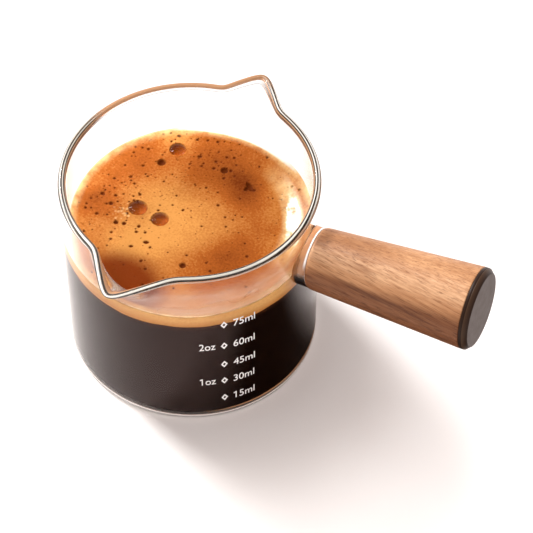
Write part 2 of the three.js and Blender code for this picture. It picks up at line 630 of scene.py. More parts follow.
@dataclass(frozen=True)
class CremaFinish(DrinkFinish):
    """Tan foam: caramel clouds, fine speckles, brown open bubbles, a pale band at the glass with painted
    backlight, and a painted white highlight with painted glints.
    """

    light: Colour = (0.60, 0.265, 0.064)
    caramel: Colour = (0.33, 0.085, 0.011)
    brown: Colour = (0.14, 0.025, 0.002)
    pit: Colour = (0.11, 0.020, 0.0015)
    dome: Colour = (0.23, 0.045, 0.002)
    patch: Colour = (0.155, 0.022, 0.0006)
    # Pale foam at the glass, also the tone of the painted backlight and painted glints.
    pale_and_painted_light: Colour = (0.92, 0.70, 0.33)
    # Painted highlight: the white of the wet shine by the glass.
    white: Colour = (0.99, 0.97, 0.92)
    side: Colour = (1.0, 0.56, 0.20)
    swirl: Colour = (0.74, 0.27, 0.06)
    clouds: Pattern = Pattern(even(90.0), 0.30, 0.70, 3.0)
    froth: Pattern = Pattern(even(1900.0), 0.30, 0.74, 2.0)
    tears: Pattern = Pattern(even(420.0), 0.36, 0.62)
    swirls: Pattern = Pattern((150.0, 150.0, 420.0), 0.42, 0.72, 5.0)
    cloud_drift: float = 0.14
    froth_drift: float = 0.13
    swirl_share: float = 0.5
    speckle_share: float = 0.35
    foot_share: float = 0.75
    foot_rise: float = 1.9
    foot_drift: float = 0.4
    hole_grain: float = 1000.0

    def material(self) -> bpy.types.Material:
        """Makes the crema's material.

        Returns:
            The material.
        """
        material, sheet, shader = self.start()
        froth = sheet.mottle(self.froth)
        wet = sheet.mask("wet")
        top = self.top_colour(sheet, froth, wet)
        colour = sheet.mix(sheet.mask("side"), top, self.painted_edge_light(sheet, self.side_colour(sheet, froth)))
        relief = sheet.times(froth, sheet.between(sheet.mask("patch"), 1.0, 0.1))
        sheet.fill(shader, Base_Color=colour, Roughness=sheet.between(froth, 0.5, 0.7))
        sheet.fill(shader, Normal=sheet.bump(relief, 0.06, 0.6), Specular_IOR_Level=0.03)
        sheet.fill(shader, Coat_Weight=wet, Coat_Roughness=0.26, Coat_IOR=1.4)
        return material

    def top_colour(self, sheet: NodeSheet, froth: Socket, wet: Socket) -> Socket:
        """The top from its tone: light, caramel and brown, then bubbles, the patch, the pale edge with
        painted backlight and glints, and the painted white highlight.

        Args:
            sheet: The finish's node sheet.
            froth: The mask of the fine froth.
            wet: The mask of the wet highlight, which also breaks up the painted white.

        Returns:
            The socket of the colour.
        """
        drift = sheet.between(sheet.mottle(self.clouds), -self.cloud_drift, self.cloud_drift)
        grain = sheet.between(froth, -self.froth_drift, self.froth_drift)
        tone = sheet.total(sheet.mask("stain"), drift, grain)
        colour = sheet.mix(sheet.span(tone, 0.0, 0.5), self.light, self.caramel)
        colour = sheet.mix(sheet.span(tone, 0.5, 1.0), colour, self.brown)
        colour = sheet.mix(self.pinholes(sheet), colour, self.brown)
        for name, tint in (("patch", self.patch), ("pit", self.pit), ("dome", self.dome)):
            colour = sheet.mix(sheet.mask(name), colour, tint)
        tears = sheet.mottle(self.tears)
        # The edge mask holds the pale foam band with painted backlight, painted glints and the painted
        # highlight.
        edge = sheet.mask("edge")
        colour = sheet.mix(sheet.times(edge, sheet.between(tears, 0.35, 1.0)), colour, self.pale_and_painted_light)
        gaps = sheet.times(wet, sheet.between(tears, 0.4, 0.0))
        # Painted highlight: white where the edge mask is strongest, broken by gaps in the wet part.
        return sheet.mix(sheet.span(sheet.reckon("SUBTRACT", edge, gaps), 0.55, 0.85), colour, self.white)

    def side_colour(self, sheet: NodeSheet, froth: Socket) -> Socket:
        """The layer seen through the wall: swirls, fine speckles and a darker foot.

        Args:
            sheet: The finish's node sheet.
            froth: The mask of the fine froth.

        Returns:
            The socket of the colour.
        """
        swirls = sheet.mottle(self.swirls)
        drift = self.foot_drift * MM
        height = sheet.total(sheet.axis("Z"), sheet.between(swirls, -drift, drift))
        top = (self.level + self.foot_rise) * MM
        foot = sheet.span(height, self.level * MM, top, (self.foot_share, 0.0))
        colour = sheet.mix(sheet.times(swirls, self.swirl_share), self.side, self.swirl)
        colour = sheet.mix(sheet.times(froth, self.speckle_share), colour, self.swirl)
        return sheet.mix(foot, colour, self.swirl)

    def pinholes(self, sheet: NodeSheet) -> Socket:
        """The mask of scattered pinholes finer than the modelled bubbles, one in each of some cells.

        Args:
            sheet: The finish's node sheet.

        Returns:
            The mask's socket.
        """
        where = sheet.stretched(even(self.hole_grain))
        cells = sheet.add("ShaderNodeTexVoronoi", {"feature": "F1"}, Vector=where, Scale=1.0)
        share = sheet.add("ShaderNodeSeparateColor", Color=cells.outputs["Color"])
        size = sheet.span(share.outputs[0], 0.60, 1.0, (0.0, 0.30))
        hole = sheet.reckon("SUBTRACT", size, cells.outputs["Distance"])
        return sheet.span(hole, 0.0, 0.10, (0.0, 0.8))


SLANT: Triple = (0.0, math.radians(2.0), math.radians(-7.0))


@dataclass(frozen=True)
class WoodFinish(Finish):
    """Oiled brown wood with fine slanting grain, short dark pores, a painted highlight along the upper near
    side and painted shade underneath.
    """

    light: Colour = (0.62, 0.33, 0.160)
    dark: Colour = (0.36, 0.150, 0.058)
    pore: Colour = (0.12, 0.038, 0.013)
    # Painted shade: the colour that darkens the underside.
    shade: Colour = (0.43, 0.32, 0.25)
    # Painted highlight: the paler tone of the gleam.
    pale_and_painted_light: Colour = (0.86, 0.56, 0.34)
    bands: Pattern = Pattern((22.0, 240.0, 240.0), 0.36, 0.66, 3.0, SLANT)
    fibres: Pattern = Pattern((90.0, 2100.0, 2100.0), 0.36, 0.70, 3.0, SLANT)
    pores: Pattern = Pattern((260.0, 5000.0, 5000.0), 0.54, 0.69, 2.0, SLANT)
    streaks: Pattern = Pattern((60.0, 900.0, 900.0), 0.52, 0.74, 2.0, SLANT)
    band_share: float = 0.75
    painted_gleam_share: float = 0.65
    fibre_share: float = 0.7
    pore_share: Pair = (0.5, 0.78)
    streak_share: Pair = (0.15, 0.7)

    def material(self) -> bpy.types.Material:
        """Makes the wood's material.

        Returns:
            The material.
        """
        material, sheet, shader = self.start()
        fibres = sheet.mottle(self.fibres)
        pores = sheet.mottle(self.pores)
        under = sheet.mask("under")
        colour = sheet.mix(sheet.times(sheet.mottle(self.bands), self.band_share), self.light, self.dark)
        # Painted highlight: a paler stretch along the upper near side.
        colour = sheet.mix(sheet.times(sheet.mask("gleam"), self.painted_gleam_share), colour, self.pale_and_painted_light)
        colour = sheet.mix(sheet.times(fibres, self.fibre_share), colour, self.dark)
        # Pores and streaks grow stronger where the painted shade lies.
        for mask, share in ((pores, self.pore_share), (sheet.mottle(self.streaks), self.streak_share)):
            colour = sheet.mix(sheet.times(mask, sheet.between(under, *share)), colour, self.pore)
        # Painted shade: the underside and the end by the glass are darkened.
        colour = sheet.mix(under, colour, sheet.mix(1.0, colour, self.shade, "MULTIPLY"))
        relief = sheet.reckon("SUBTRACT", sheet.times(fibres, 0.5), pores)
        sheet.fill(shader, Base_Color=colour, Roughness=sheet.between(fibres, 0.40, 0.55))
        sheet.fill(shader, Normal=sheet.bump(relief, 0.05, 0.6), Specular_IOR_Level=0.25)
        return material


@dataclass(frozen=True)
class CapFinish(Finish):
    """Satin dark brown with a flat face painted greyer as a reflection, and a fine brighter edge."""

    body: Colour = (0.022, 0.009, 0.004)
    # Painted reflection: the greyer tone of the flat face.
    face: Colour = (0.054, 0.028, 0.019)
    edge: Colour = (0.12, 0.065, 0.035)
    edge_share: float = 0.6
    grain: Pattern = Pattern(even(500.0), 0.3, 0.7)

    def material(self) -> bpy.types.Material:
        """Makes the cap's material.

        Returns:
            The material.
        """
        material, sheet, shader = self.start()
        drift = sheet.mottle(self.grain)
        # Painted reflection: the flat face takes the greyer tone.
        colour = sheet.mix(sheet.mask("face"), self.body, self.face)
        colour = sheet.mix(sheet.times(sheet.mask("edge"), self.edge_share), colour, self.edge)
        sheet.fill(shader, Base_Color=colour, Roughness=sheet.between(drift, 0.40, 0.48))
        sheet.fill(shader, Normal=sheet.bump(drift, 0.01, 0.3), Specular_IOR_Level=0.15)
        return material


@dataclass(frozen=True)
class EvenFinish(Finish):
    """An even printed or painted finish with a slight drift in tone and gloss."""

    colour: Colour
    other: Colour
    gloss: Pair
    grain: float

    def material(self) -> bpy.types.Material:
        """Makes the even material.

        Returns:
            The material.
        """
        material, sheet, shader = self.start()
        drift = sheet.mottle(Pattern(even(self.grain), 0.3, 0.7))
        colour = sheet.mix(drift, self.colour, self.other)
        gloss = sheet.between(drift, *self.gloss)
        sheet.fill(shader, Base_Color=colour, Roughness=gloss, Normal=sheet.bump(drift, 0.01, 0.3))
        return material


@dataclass(frozen=True)
class BandFinish(Finish):
    """Painted light caught in the rounded edges of the glass: silvery, with painted copper and dark lines
    beside it.
    """

    bright: Colour = (0.97, 0.96, 0.94)
    dim: Colour = (0.80, 0.77, 0.75)
    copper: Colour = (0.85, 0.45, 0.22)
    dark: Colour = (0.035, 0.024, 0.018)
    drift: Pattern = Pattern((40.0, 40.0, 500.0), 0.35, 0.65, 2.0)

    def material(self) -> bpy.types.Material:
        """Makes the band's material.

        Returns:
            The material.
        """
        material, sheet, shader = self.start()
        silver = sheet.mix(sheet.mottle(self.drift), self.bright, self.dim)
        lit = sheet.mix(sheet.mask("copper"), silver, self.copper)
        colour = sheet.mix(sheet.mask("dark"), lit, self.dark)
        sheet.fill(shader, Base_Color=colour, Alpha=sheet.mask("strength"))
        sheet.fill(shader, Roughness=0.3, Specular_IOR_Level=0.2)
        return material


@dataclass(frozen=True)
class HandleAxis:
    """The tilted middle line of boss and handle, which starts on the glass's axis."""

    height: float = 37.46
    tilt: float = math.radians(4.5)

    @property
    def start(self) -> Array:
        """The point where the line leaves the glass's axis."""
        return np.array([0.0, 0.0, self.height])

    @property
    def along(self) -> Array:
        """Unit vector out along the handle."""
        return np.array([math.cos(self.tilt), 0.0, math.sin(self.tilt)])

    @property
    def across(self) -> Array:
        """Unit vector sideways."""
        return np.array([0.0, 1.0, 0.0])

    @property
    def up(self) -> Array:
        """Unit vector up from the handle, square to it."""
        return np.array([-math.sin(self.tilt), 0.0, math.cos(self.tilt)])

    def to_wall(self, radius: float, side: Array, up: Array) -> Array:
        """Distance along the line to an upright round wall.

        It is the square root of the radius squared less the side squared, plus up times the sine of the
        tilt, over the cosine of the tilt.

        Args:
            radius: Radius of the wall.
            side: Distances sideways from the line.
            up: Distances up from the line.

        Returns:
            The distances.
        """
        level = np.sqrt(np.maximum(radius**2 - side**2, 0.0))
        return (level + up * math.sin(self.tilt)) / math.cos(self.tilt)


@dataclass(frozen=True)
class Spout:
    """A pouring spout: where it points and the angle of the straight flank on each side of its tip."""

    azimuth: float
    flank_before: float
    flank_after: float


@dataclass(frozen=True)
class RimLine:
    """A painted light or dark line on the rounded rim: angle and half width at the sides and near, its tone
    and its strengths.
    """

    side_place: Pair
    near_place: Pair
    dark: bool
    near: float
    side: float
    far: float


@dataclass
class GlassCup:
    """The clear glass with a flat base, a straight wall, a fire-polished rim and two drawn spouts."""

    radius: float
    rim_height: float
    wall: float = 1.7
    base: float = 1.2
    base_corner: float = 1.2
    inner_corner: float = 1.0
    spout_reach: float = 36.05
    spout_foot: float = 39.5
    spout_drop: float = 1.4
    tip_round: float = math.radians(2.7)
    shoulder_blend: float = 0.5
    spout_span: float = math.radians(60.0)
    spouts: tuple[Spout, ...] = (Spout(-91.9, 39.4, 45.0), Spout(88.7, 40.2, 29.9))
    steps: int = 500
    crowding: float = 1.6
    crowded_boss: float = math.radians(15.0)
    crowded_spout: float = math.radians(9.0)
    sharp: float = math.radians(40.0)
    half_skin: float = 0.02
    axis: HandleAxis = HandleAxis()
    boss_radius: float = 6.8
    boss_end: float = 32.2
    boss_wood: float = 31.3
    boss_rows: Pair = (29.5, 46.0)
    boss_steps: int = 96
    boss_rings: int = 13
    # Colours of the painted view of crema and coffee through the boss.
    boss_copper: Colour = (0.42, 0.19, 0.08)
    boss_dark: Colour = (0.006, 0.003, 0.002)
    rim_from: float = -34.0
    rim_to: float = 214.0
    rim_rows: int = 64
    copper_azimuth: float = math.radians(125.0)
    near_azimuth: float = math.radians(-65.0)
    tan_azimuth: float = math.radians(35.0)
    tan_strength: float = 0.75
    tan_right: float = 0.9
    right_fade: float = 0.5
    # Colours of the painted light, copper and dark lines on the rim.
    rim_bright: Colour = (0.92, 0.92, 0.87)
    rim_dim: Colour = (0.56, 0.56, 0.50)
    rim_copper: Colour = (0.56, 0.30, 0.15)
    rim_dark: Colour = (0.016, 0.013, 0.008)
    painted_rim_lines: tuple[RimLine, ...] = (
        RimLine((20.0, 22.0), (-9.0, 8.0), True, 0.0, 1.0, 0.0),
        RimLine((60.0, 11.0), (8.0, 8.0), False, 0.5, 1.0, 0.0),
        RimLine((86.0, 10.0), (42.0, 12.0), True, 1.0, 1.0, 0.0),
        RimLine((106.0, 8.0), (78.0, 17.0), False, 1.0, 1.0, 0.0),
        RimLine((124.0, 8.0), (118.0, 11.0), True, 1.0, 1.0, 0.0),
        RimLine((165.0, 14.0), (165.0, 14.0), True, 0.0, 0.6, 0.0),
        RimLine((58.0, 9.0), (58.0, 9.0), True, 0.0, 0.0, 0.35),
        RimLine((194.0, 13.0), (194.0, 13.0), True, 0.0, 0.0, 0.3),
    )
    foot_from: float = -52.0
    # Painted light in the foot: white band, dark line and copper line.
    foot_white: float = 1.6
    foot_soft: float = 0.15
    foot_dark_line: float = 0.95
    dark_line_half: float = 0.13
    dark_line_strength: float = 0.75
    foot_line: float = 2.5
    line_half: float = 0.2
    line_strength: float = 0.9
    foot_steps: int = 256
    lit_azimuth: float = math.radians(-10.0)

    @classmethod
    def from_frame(cls) -> "GlassCup":
        """Takes the radius and the rim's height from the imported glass."""
        low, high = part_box("glass_cup")
        return cls(radius=float(-low[0]) / MM, rim_height=float(high[2]) / MM)

    @property
    def bead(self) -> float:
        """Radius of the rounded rim's section."""
        return self.wall / 2.0

    @property
    def middle(self) -> float:
        """Radius of the middle of the wall."""
        return self.radius - self.bead

    @property
    def inner_radius(self) -> float:
        """Radius of the inside of the wall."""
        return self.radius - self.wall

    def drawn_out(self, azimuth: Array) -> Array:
        """How far the middle of the wall is drawn out at the rim.

        A flank is a straight line that leaves the tip at its flank angle, in polar form reach times
        sin(flank) over sin(flank + turn), and a soft maximum blends it into the round wall.

        Args:
            azimuth: Angles round the glass's axis.

        Returns:
            The distances, none away from the spouts.
        """
        total = np.zeros_like(azimuth)
        for spout in self.spouts:
            turn = turn_from(azimuth, math.radians(spout.azimuth))
            flank = np.radians(np.where(turn < 0.0, spout.flank_before, spout.flank_after))
            rounded = np.hypot(turn, self.tip_round) - self.tip_round
            edge = self.spout_reach * np.sin(flank) / np.sin(np.minimum(flank + rounded, np.pi / 2.0))
            pull = self.shoulder_blend * np.logaddexp(0.0, (edge - self.middle) / self.shoulder_blend)
            total += np.where(np.abs(turn) > self.spout_span, 0.0, pull)
        return total

    def draw_share(self, height: Array) -> Array:
        """Share of the draw from the spout's foot to the rim: t squared times (3 - t) over 2."""
        share = np.clip((height - self.spout_foot) / (self.rim_height - self.spout_foot), 0.0, 1.0)
        return share * share * (3.0 - share) / 2.0

    def profile(self) -> Array:
        """The glass's section, from its underside on the axis over the rim to the floor inside.

        Returns:
            Radius and height of each point, with more of them on the outside where the boss stands.
        """
        boss_low, boss_high = self.boss_rows
        top = self.rim_height - self.bead
        inner = self.inner_radius
        corner = self.inner_corner
        outer_corner = self.base_corner
        return np.concatenate([
            line((0.0, 0.0), (self.radius - outer_corner, 0.0), 8),
            arc((self.radius - outer_corner, outer_corner), outer_corner, -90.0, 0.0, 10)[:-1],
            line((self.radius, outer_corner), (self.radius, boss_low), 6),
            line((self.radius, boss_low), (self.radius, boss_high), 44),
            line((self.radius, boss_high), (self.radius, top), 10),
            arc((self.middle, top), self.bead, 0.0, 180.0, 30)[:-1],
            line((inner, top), (inner, self.spout_foot), 24),
            line((inner, self.spout_foot), (inner, self.base + corner), 12),
            arc((inner - corner, self.base + corner), corner, 0.0, -90.0, 12)[:-1],
            line((inner - corner, self.base), (0.0, self.base), 6),
            [[0.0, self.base]],
        ])

    def swept(self, radius: Array, height: Array, azimuth: Array) -> Array:
        """Carries rows of a section round the axis and out into the spouts.

        Every point keeps its distance from the middle line of the wall, measured square to that line,
        and the rim dips in step with the draw.

        Args:
            radius: Radius of each row.
            height: Height of each row.
            azimuth: Angles round the axis.

        Returns:
            The points, one ring for each row.
        """
        nudge = 1e-4
        draw = self.drawn_out(azimuth)
        slope = (self.drawn_out(azimuth + nudge) - self.drawn_out(azimuth - nudge)) / (2.0 * nudge)
        share = self.draw_share(height)[:, None]
        middle = self.middle + share * draw
        normal = azimuth - np.arctan2(share * slope, middle)
        offset = (radius - self.middle)[:, None]
        dip = self.spout_drop * share * draw / (self.spout_reach - self.middle)
        x = middle * np.cos(azimuth) + offset * np.cos(normal)
        y = middle * np.sin(azimuth) + offset * np.sin(normal)
        return np.stack([x, y, height[:, None] - dip], axis=-1)

    def surface(self) -> Surface:
        """The closed glass: its section carried round the axis, with the boss drawn out of the wall.

        Returns:
            The closed surface.
        """
        radius, height = self.profile()[1:-1].T
        rings = self.swept(radius, height, self.crowded_angles())
        rings = self.with_boss(rings, radius >= self.radius - TINY)
        return capped_rings(rings, np.array([0.0, 0.0, 0.0]), np.array([0.0, 0.0, self.base]))

    def crowded_angles(self) -> Array:
        """Angles round the glass, closer together at the spouts and at the boss.

        Returns:
            The angles, spread evenly over the sum of their density.
        """
        fine = np.linspace(-np.pi, np.pi, 7201)
        density = 1.0 + self.crowding * bell(fine, 0.0, self.crowded_boss, 4)
        for spout in self.spouts:
            density += self.crowding * bell(fine, math.radians(spout.azimuth), self.crowded_spout)
        share = np.concatenate([[0.0], np.cumsum(0.5 * (density[1:] + density[:-1]))])
        return np.interp(np.linspace(0.0, share[-1], self.steps, endpoint=False), share, fine)

    def with_boss(self, points: Array, outer_rows: Array) -> Array:
        """Draws the outside of the wall out along the handle's axis, into the wood.

        Squares of the grid that the boss's circle crosses get their corners on the circle, and the points
        inside it move along the axis to the boss's end.

        Args:
            points: The grid of points.
            outer_rows: True for each row on the outside of the wall.

        Returns:
            The grid with the boss.
        """
        axis = self.axis
        along = (points - axis.start) @ axis.along
        aside = points - axis.start - along[..., None] * axis.along
        away = np.linalg.norm(aside, axis=-1)
        within = outer_rows[:, None] & (along > 0.0) & (away < self.boss_radius)
        pair = within.astype(int) + np.roll(within, -1, axis=1)
        count = pair[:-1] + pair[1:]
        crossed = (count > 0) & (count < 4)
        touched = crossed | np.roll(crossed, 1, axis=1)
        on_circle = np.zeros_like(within)
        on_circle[:-1] |= touched
        on_circle[1:] |= touched
        moved = aside * (self.boss_radius / np.maximum(away, TINY))[..., None]
        aside = np.where(on_circle[..., None], moved, aside)
        on_wall = axis.to_wall(self.radius, aside[..., 1], aside @ axis.up)
        along = np.where(within, self.boss_end, np.where(on_circle, on_wall, along))
        return axis.start + along[..., None] * axis.along + aside

    def rim_skin(self) -> tuple[Surface, Masks]:
        """The fine light and dark lines that the rim shows, painted as reflections and refractions on a thin
        skin over it.

        Returns:
            The closed surface and its masks.
        """
        centre = (self.middle, self.rim_height - self.bead)
        ends = (self.rim_from, self.rim_to)
        over = np.linspace(*ends, self.rim_rows)
        outs = (self.half_skin, -self.half_skin)
        section = out_and_back(*(arc(centre, self.bead + out, *ends, self.rim_rows - 1) for out in outs))
        azimuth = self.crowded_angles()
        points = self.swept(section[:, 0], section[:, 1], azimuth)
        return thin_skin(points), self.rim_masks(out_and_back(over, over)[:, None], azimuth)

    def rim_masks(self, over: Array, azimuth: Array) -> Masks:
        """Where the rim has painted light, copper and dark lines.

        Each line is a bell curve of the angle over the rounded rim, from 0 outside to 180 inside. Its place
        moves from its near place to its side place with the angle round the glass.

        Args:
            over: Angle over the rim for each row.
            azimuth: Angle of each column.

        Returns:
            The masks for each point.
        """
        # Painted reflections and refractions: copper on the far side, tan on the right, light and dark lines
        # elsewhere.
        far = rise(np.cos(azimuth - self.copper_azimuth), 0.66, 0.86)
        near = rise(np.cos(azimuth - self.near_azimuth), 0.2, 0.8)
        right = rise(np.cos(azimuth - self.tan_azimuth), 0.5, 0.85) * fall(over, 30.0, 50.0)
        shape = (len(over), len(azimuth))
        lines = {True: np.zeros(shape), False: np.zeros(shape)}
        for each in self.painted_rim_lines:
            there = each.far * far + (1.0 - far) * (each.near * near + each.side * (1.0 - near))
            angle = each.near_place[0] * near + each.side_place[0] * (1.0 - near)
            half = each.near_place[1] * near + each.side_place[1] * (1.0 - near)
            lines[each.dark] = np.maximum(lines[each.dark], there * bell(over, angle, half, 4))
        dark = lines[True] * (1.0 - self.right_fade * right)
        light = lines[False] * (1.0 - self.right_fade * right)
        tan = np.maximum(self.tan_strength * rise(over, 124.0, 140.0), self.tan_right * right) * (1.0 - far)
        tan = tan + self.tan_strength * far * fall(over, 138.0, 156.0)
        strength = np.maximum(np.maximum(dark, light), tan)
        whole = np.maximum(strength, TINY)
        copper = np.clip(tan / whole * (1.0 - light), 0.0, 1.0)
        return band_masks(shape, strength, copper, dark / whole * (dark > 0.02))

    def boss_skin(self) -> tuple[Surface, Masks]:
        """What the short clear boss shows of the drink behind it, painted on a thin skin round it, with a
        painted white highlight by the wood.

        The skin runs along the handle's axis from the wall to the wood, at the boss's radius.

        Returns:
            The closed surface and its masks.
        """
        axis = self.axis
        turn = full_turn(self.boss_steps)
        share = np.linspace(0.0, 1.0, self.boss_rings)
        share = out_and_back(share, share)[:, None]
        layer = np.full((self.boss_rings, 1), self.half_skin)
        away = self.boss_radius + out_and_back(layer, -layer)
        side = away * np.cos(turn)
        up = away * np.sin(turn)
        along = axis.to_wall(self.radius, side, up) * (1.0 - share) + self.boss_wood * share
        place = np.stack([along, side, up], axis=-1)
        points = axis.start + place @ np.stack([axis.along, axis.across, axis.up])
        # Painted highlight: a white band by the wood; painted view of the drink: copper above, dark below.
        white = rise(share, 0.74, 0.82) * rise(up, 2.0, 4.5)
        low = fall(up, -0.2, 1.6)
        crown = 0.85 * rise(up, 2.5, 5.5) * rise(share, -0.1, 0.3)
        upper = np.maximum(crown, 0.75 * rise(share, -0.1, 0.6)) * (1.0 - low)
        lower = 0.95 * low * rise(share, 0.1, 0.3)
        strength = np.maximum(upper, np.maximum(lower, white))
        return thin_skin(points), band_masks(side.shape, strength, 1.0 - white, low * (1.0 - white))

    def foot_section(self, out: float) -> Array:
        """One side of the foot's skin, at a distance out of the glass: the rounded corner and some wall.

        Args:
            out: The distance, below 0 for inside the glass.

        Returns:
            Radius and height of each point.
        """
        corner = self.base_corner
        wall = self.radius + out
        return np.concatenate([
            arc((self.radius - corner, corner), corner + out, self.foot_from, 0.0, 8),
            line((wall, corner + 0.1), (wall, self.foot_line + 2.0 * self.line_half), 18),
        ])

    def foot_skin(self) -> tuple[Surface, Masks]:
        """The painted bright band where the thick foot of the glass gathers light, with a painted dark line
        in it and a painted copper line above it.

        A thin skin follows the rounded foot and a little of the wall, its section carried round the axis.

        Returns:
            The closed surface and its masks.
        """
        section = out_and_back(self.foot_section(self.half_skin), self.foot_section(-self.half_skin))
        points = carried_round(section, self.foot_steps)
        height = points[..., 2]
        # Painted light: white on the rounded foot, a dark line in it and a copper line above, stronger on
        # the lit side.
        white = fall(height, self.foot_white - self.foot_soft, self.foot_white + self.foot_soft)
        lit = rise(np.cos(full_turn(self.foot_steps) - self.lit_azimuth), 0.6, 1.0)
        strength = white + self.line_strength * bell(height, self.foot_line, self.line_half) * lit
        crease = self.dark_line_strength * bell(height, self.foot_dark_line, self.dark_line_half)
        return thin_skin(points), band_masks(height.shape, strength, 1.0 - white, crease)

    def build(self) -> None:
        """Makes the glass with its boss in the place of their solids, and the painted light and dark lines
        on its edges.
        """
        clear = ClearFinish("clear_glass").material()
        piece = make_piece("clear_glass_cup", self.surface(), clear, crease=self.sharp)
        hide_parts("glass_cup", "handle_boss")
        rim = BandFinish("painted_rim_lines", self.rim_bright, self.rim_dim, self.rim_copper, self.rim_dark)
        boss = BandFinish("painted_boss_light", copper=self.boss_copper, dark=self.boss_dark)
        for name, (surface, masks), finish in (
            ("painted_light_foot_band", self.foot_skin(), BandFinish("painted_light_band")),
            ("painted_light_rim_lines", self.rim_skin(), rim),
            ("painted_boss_band", self.boss_skin(), boss),
        ):
            make_piece(name, surface, finish.material(), masks)


@dataclass(frozen=True)
class Bubble:
    """An open bubble in the crema: its place, its width, how much longer it is than wide and its lie."""

    x: float
    y: float
    width: float
    stretch: float = 1.0
    lie: float = 0.0
    depth: float = 0.30

    def nearness(self, x: Array, y: Array) -> Array:
        """Distance from the bubble's middle, 1 at its edge, measured along its own length and width.

        Args:
            x: Places along the handle's axis.
            y: Places across it.

        Returns:
            The distances.
        """
        turn = math.radians(self.lie)
        along = (x - self.x) * math.cos(turn) + (y - self.y) * math.sin(turn)
        across = (y - self.y) * math.cos(turn) - (x - self.x) * math.sin(turn)
        return np.hypot(along / self.stretch, across) / (0.5 * self.width)


@dataclass(frozen=True)
class Cloud:
    """A soft round area of the crema: its place, its reach and its strength, below 0 for lighter."""

    x: float
    y: float
    reach: float
    strength: float

    def share(self, x: Array, y: Array) -> Array:
        """Its strength at places, falling by e to the minus distance squared over reach squared."""
        return self.strength * np.exp(-((x - self.x) ** 2 + (y - self.y) ** 2) / self.reach**2)


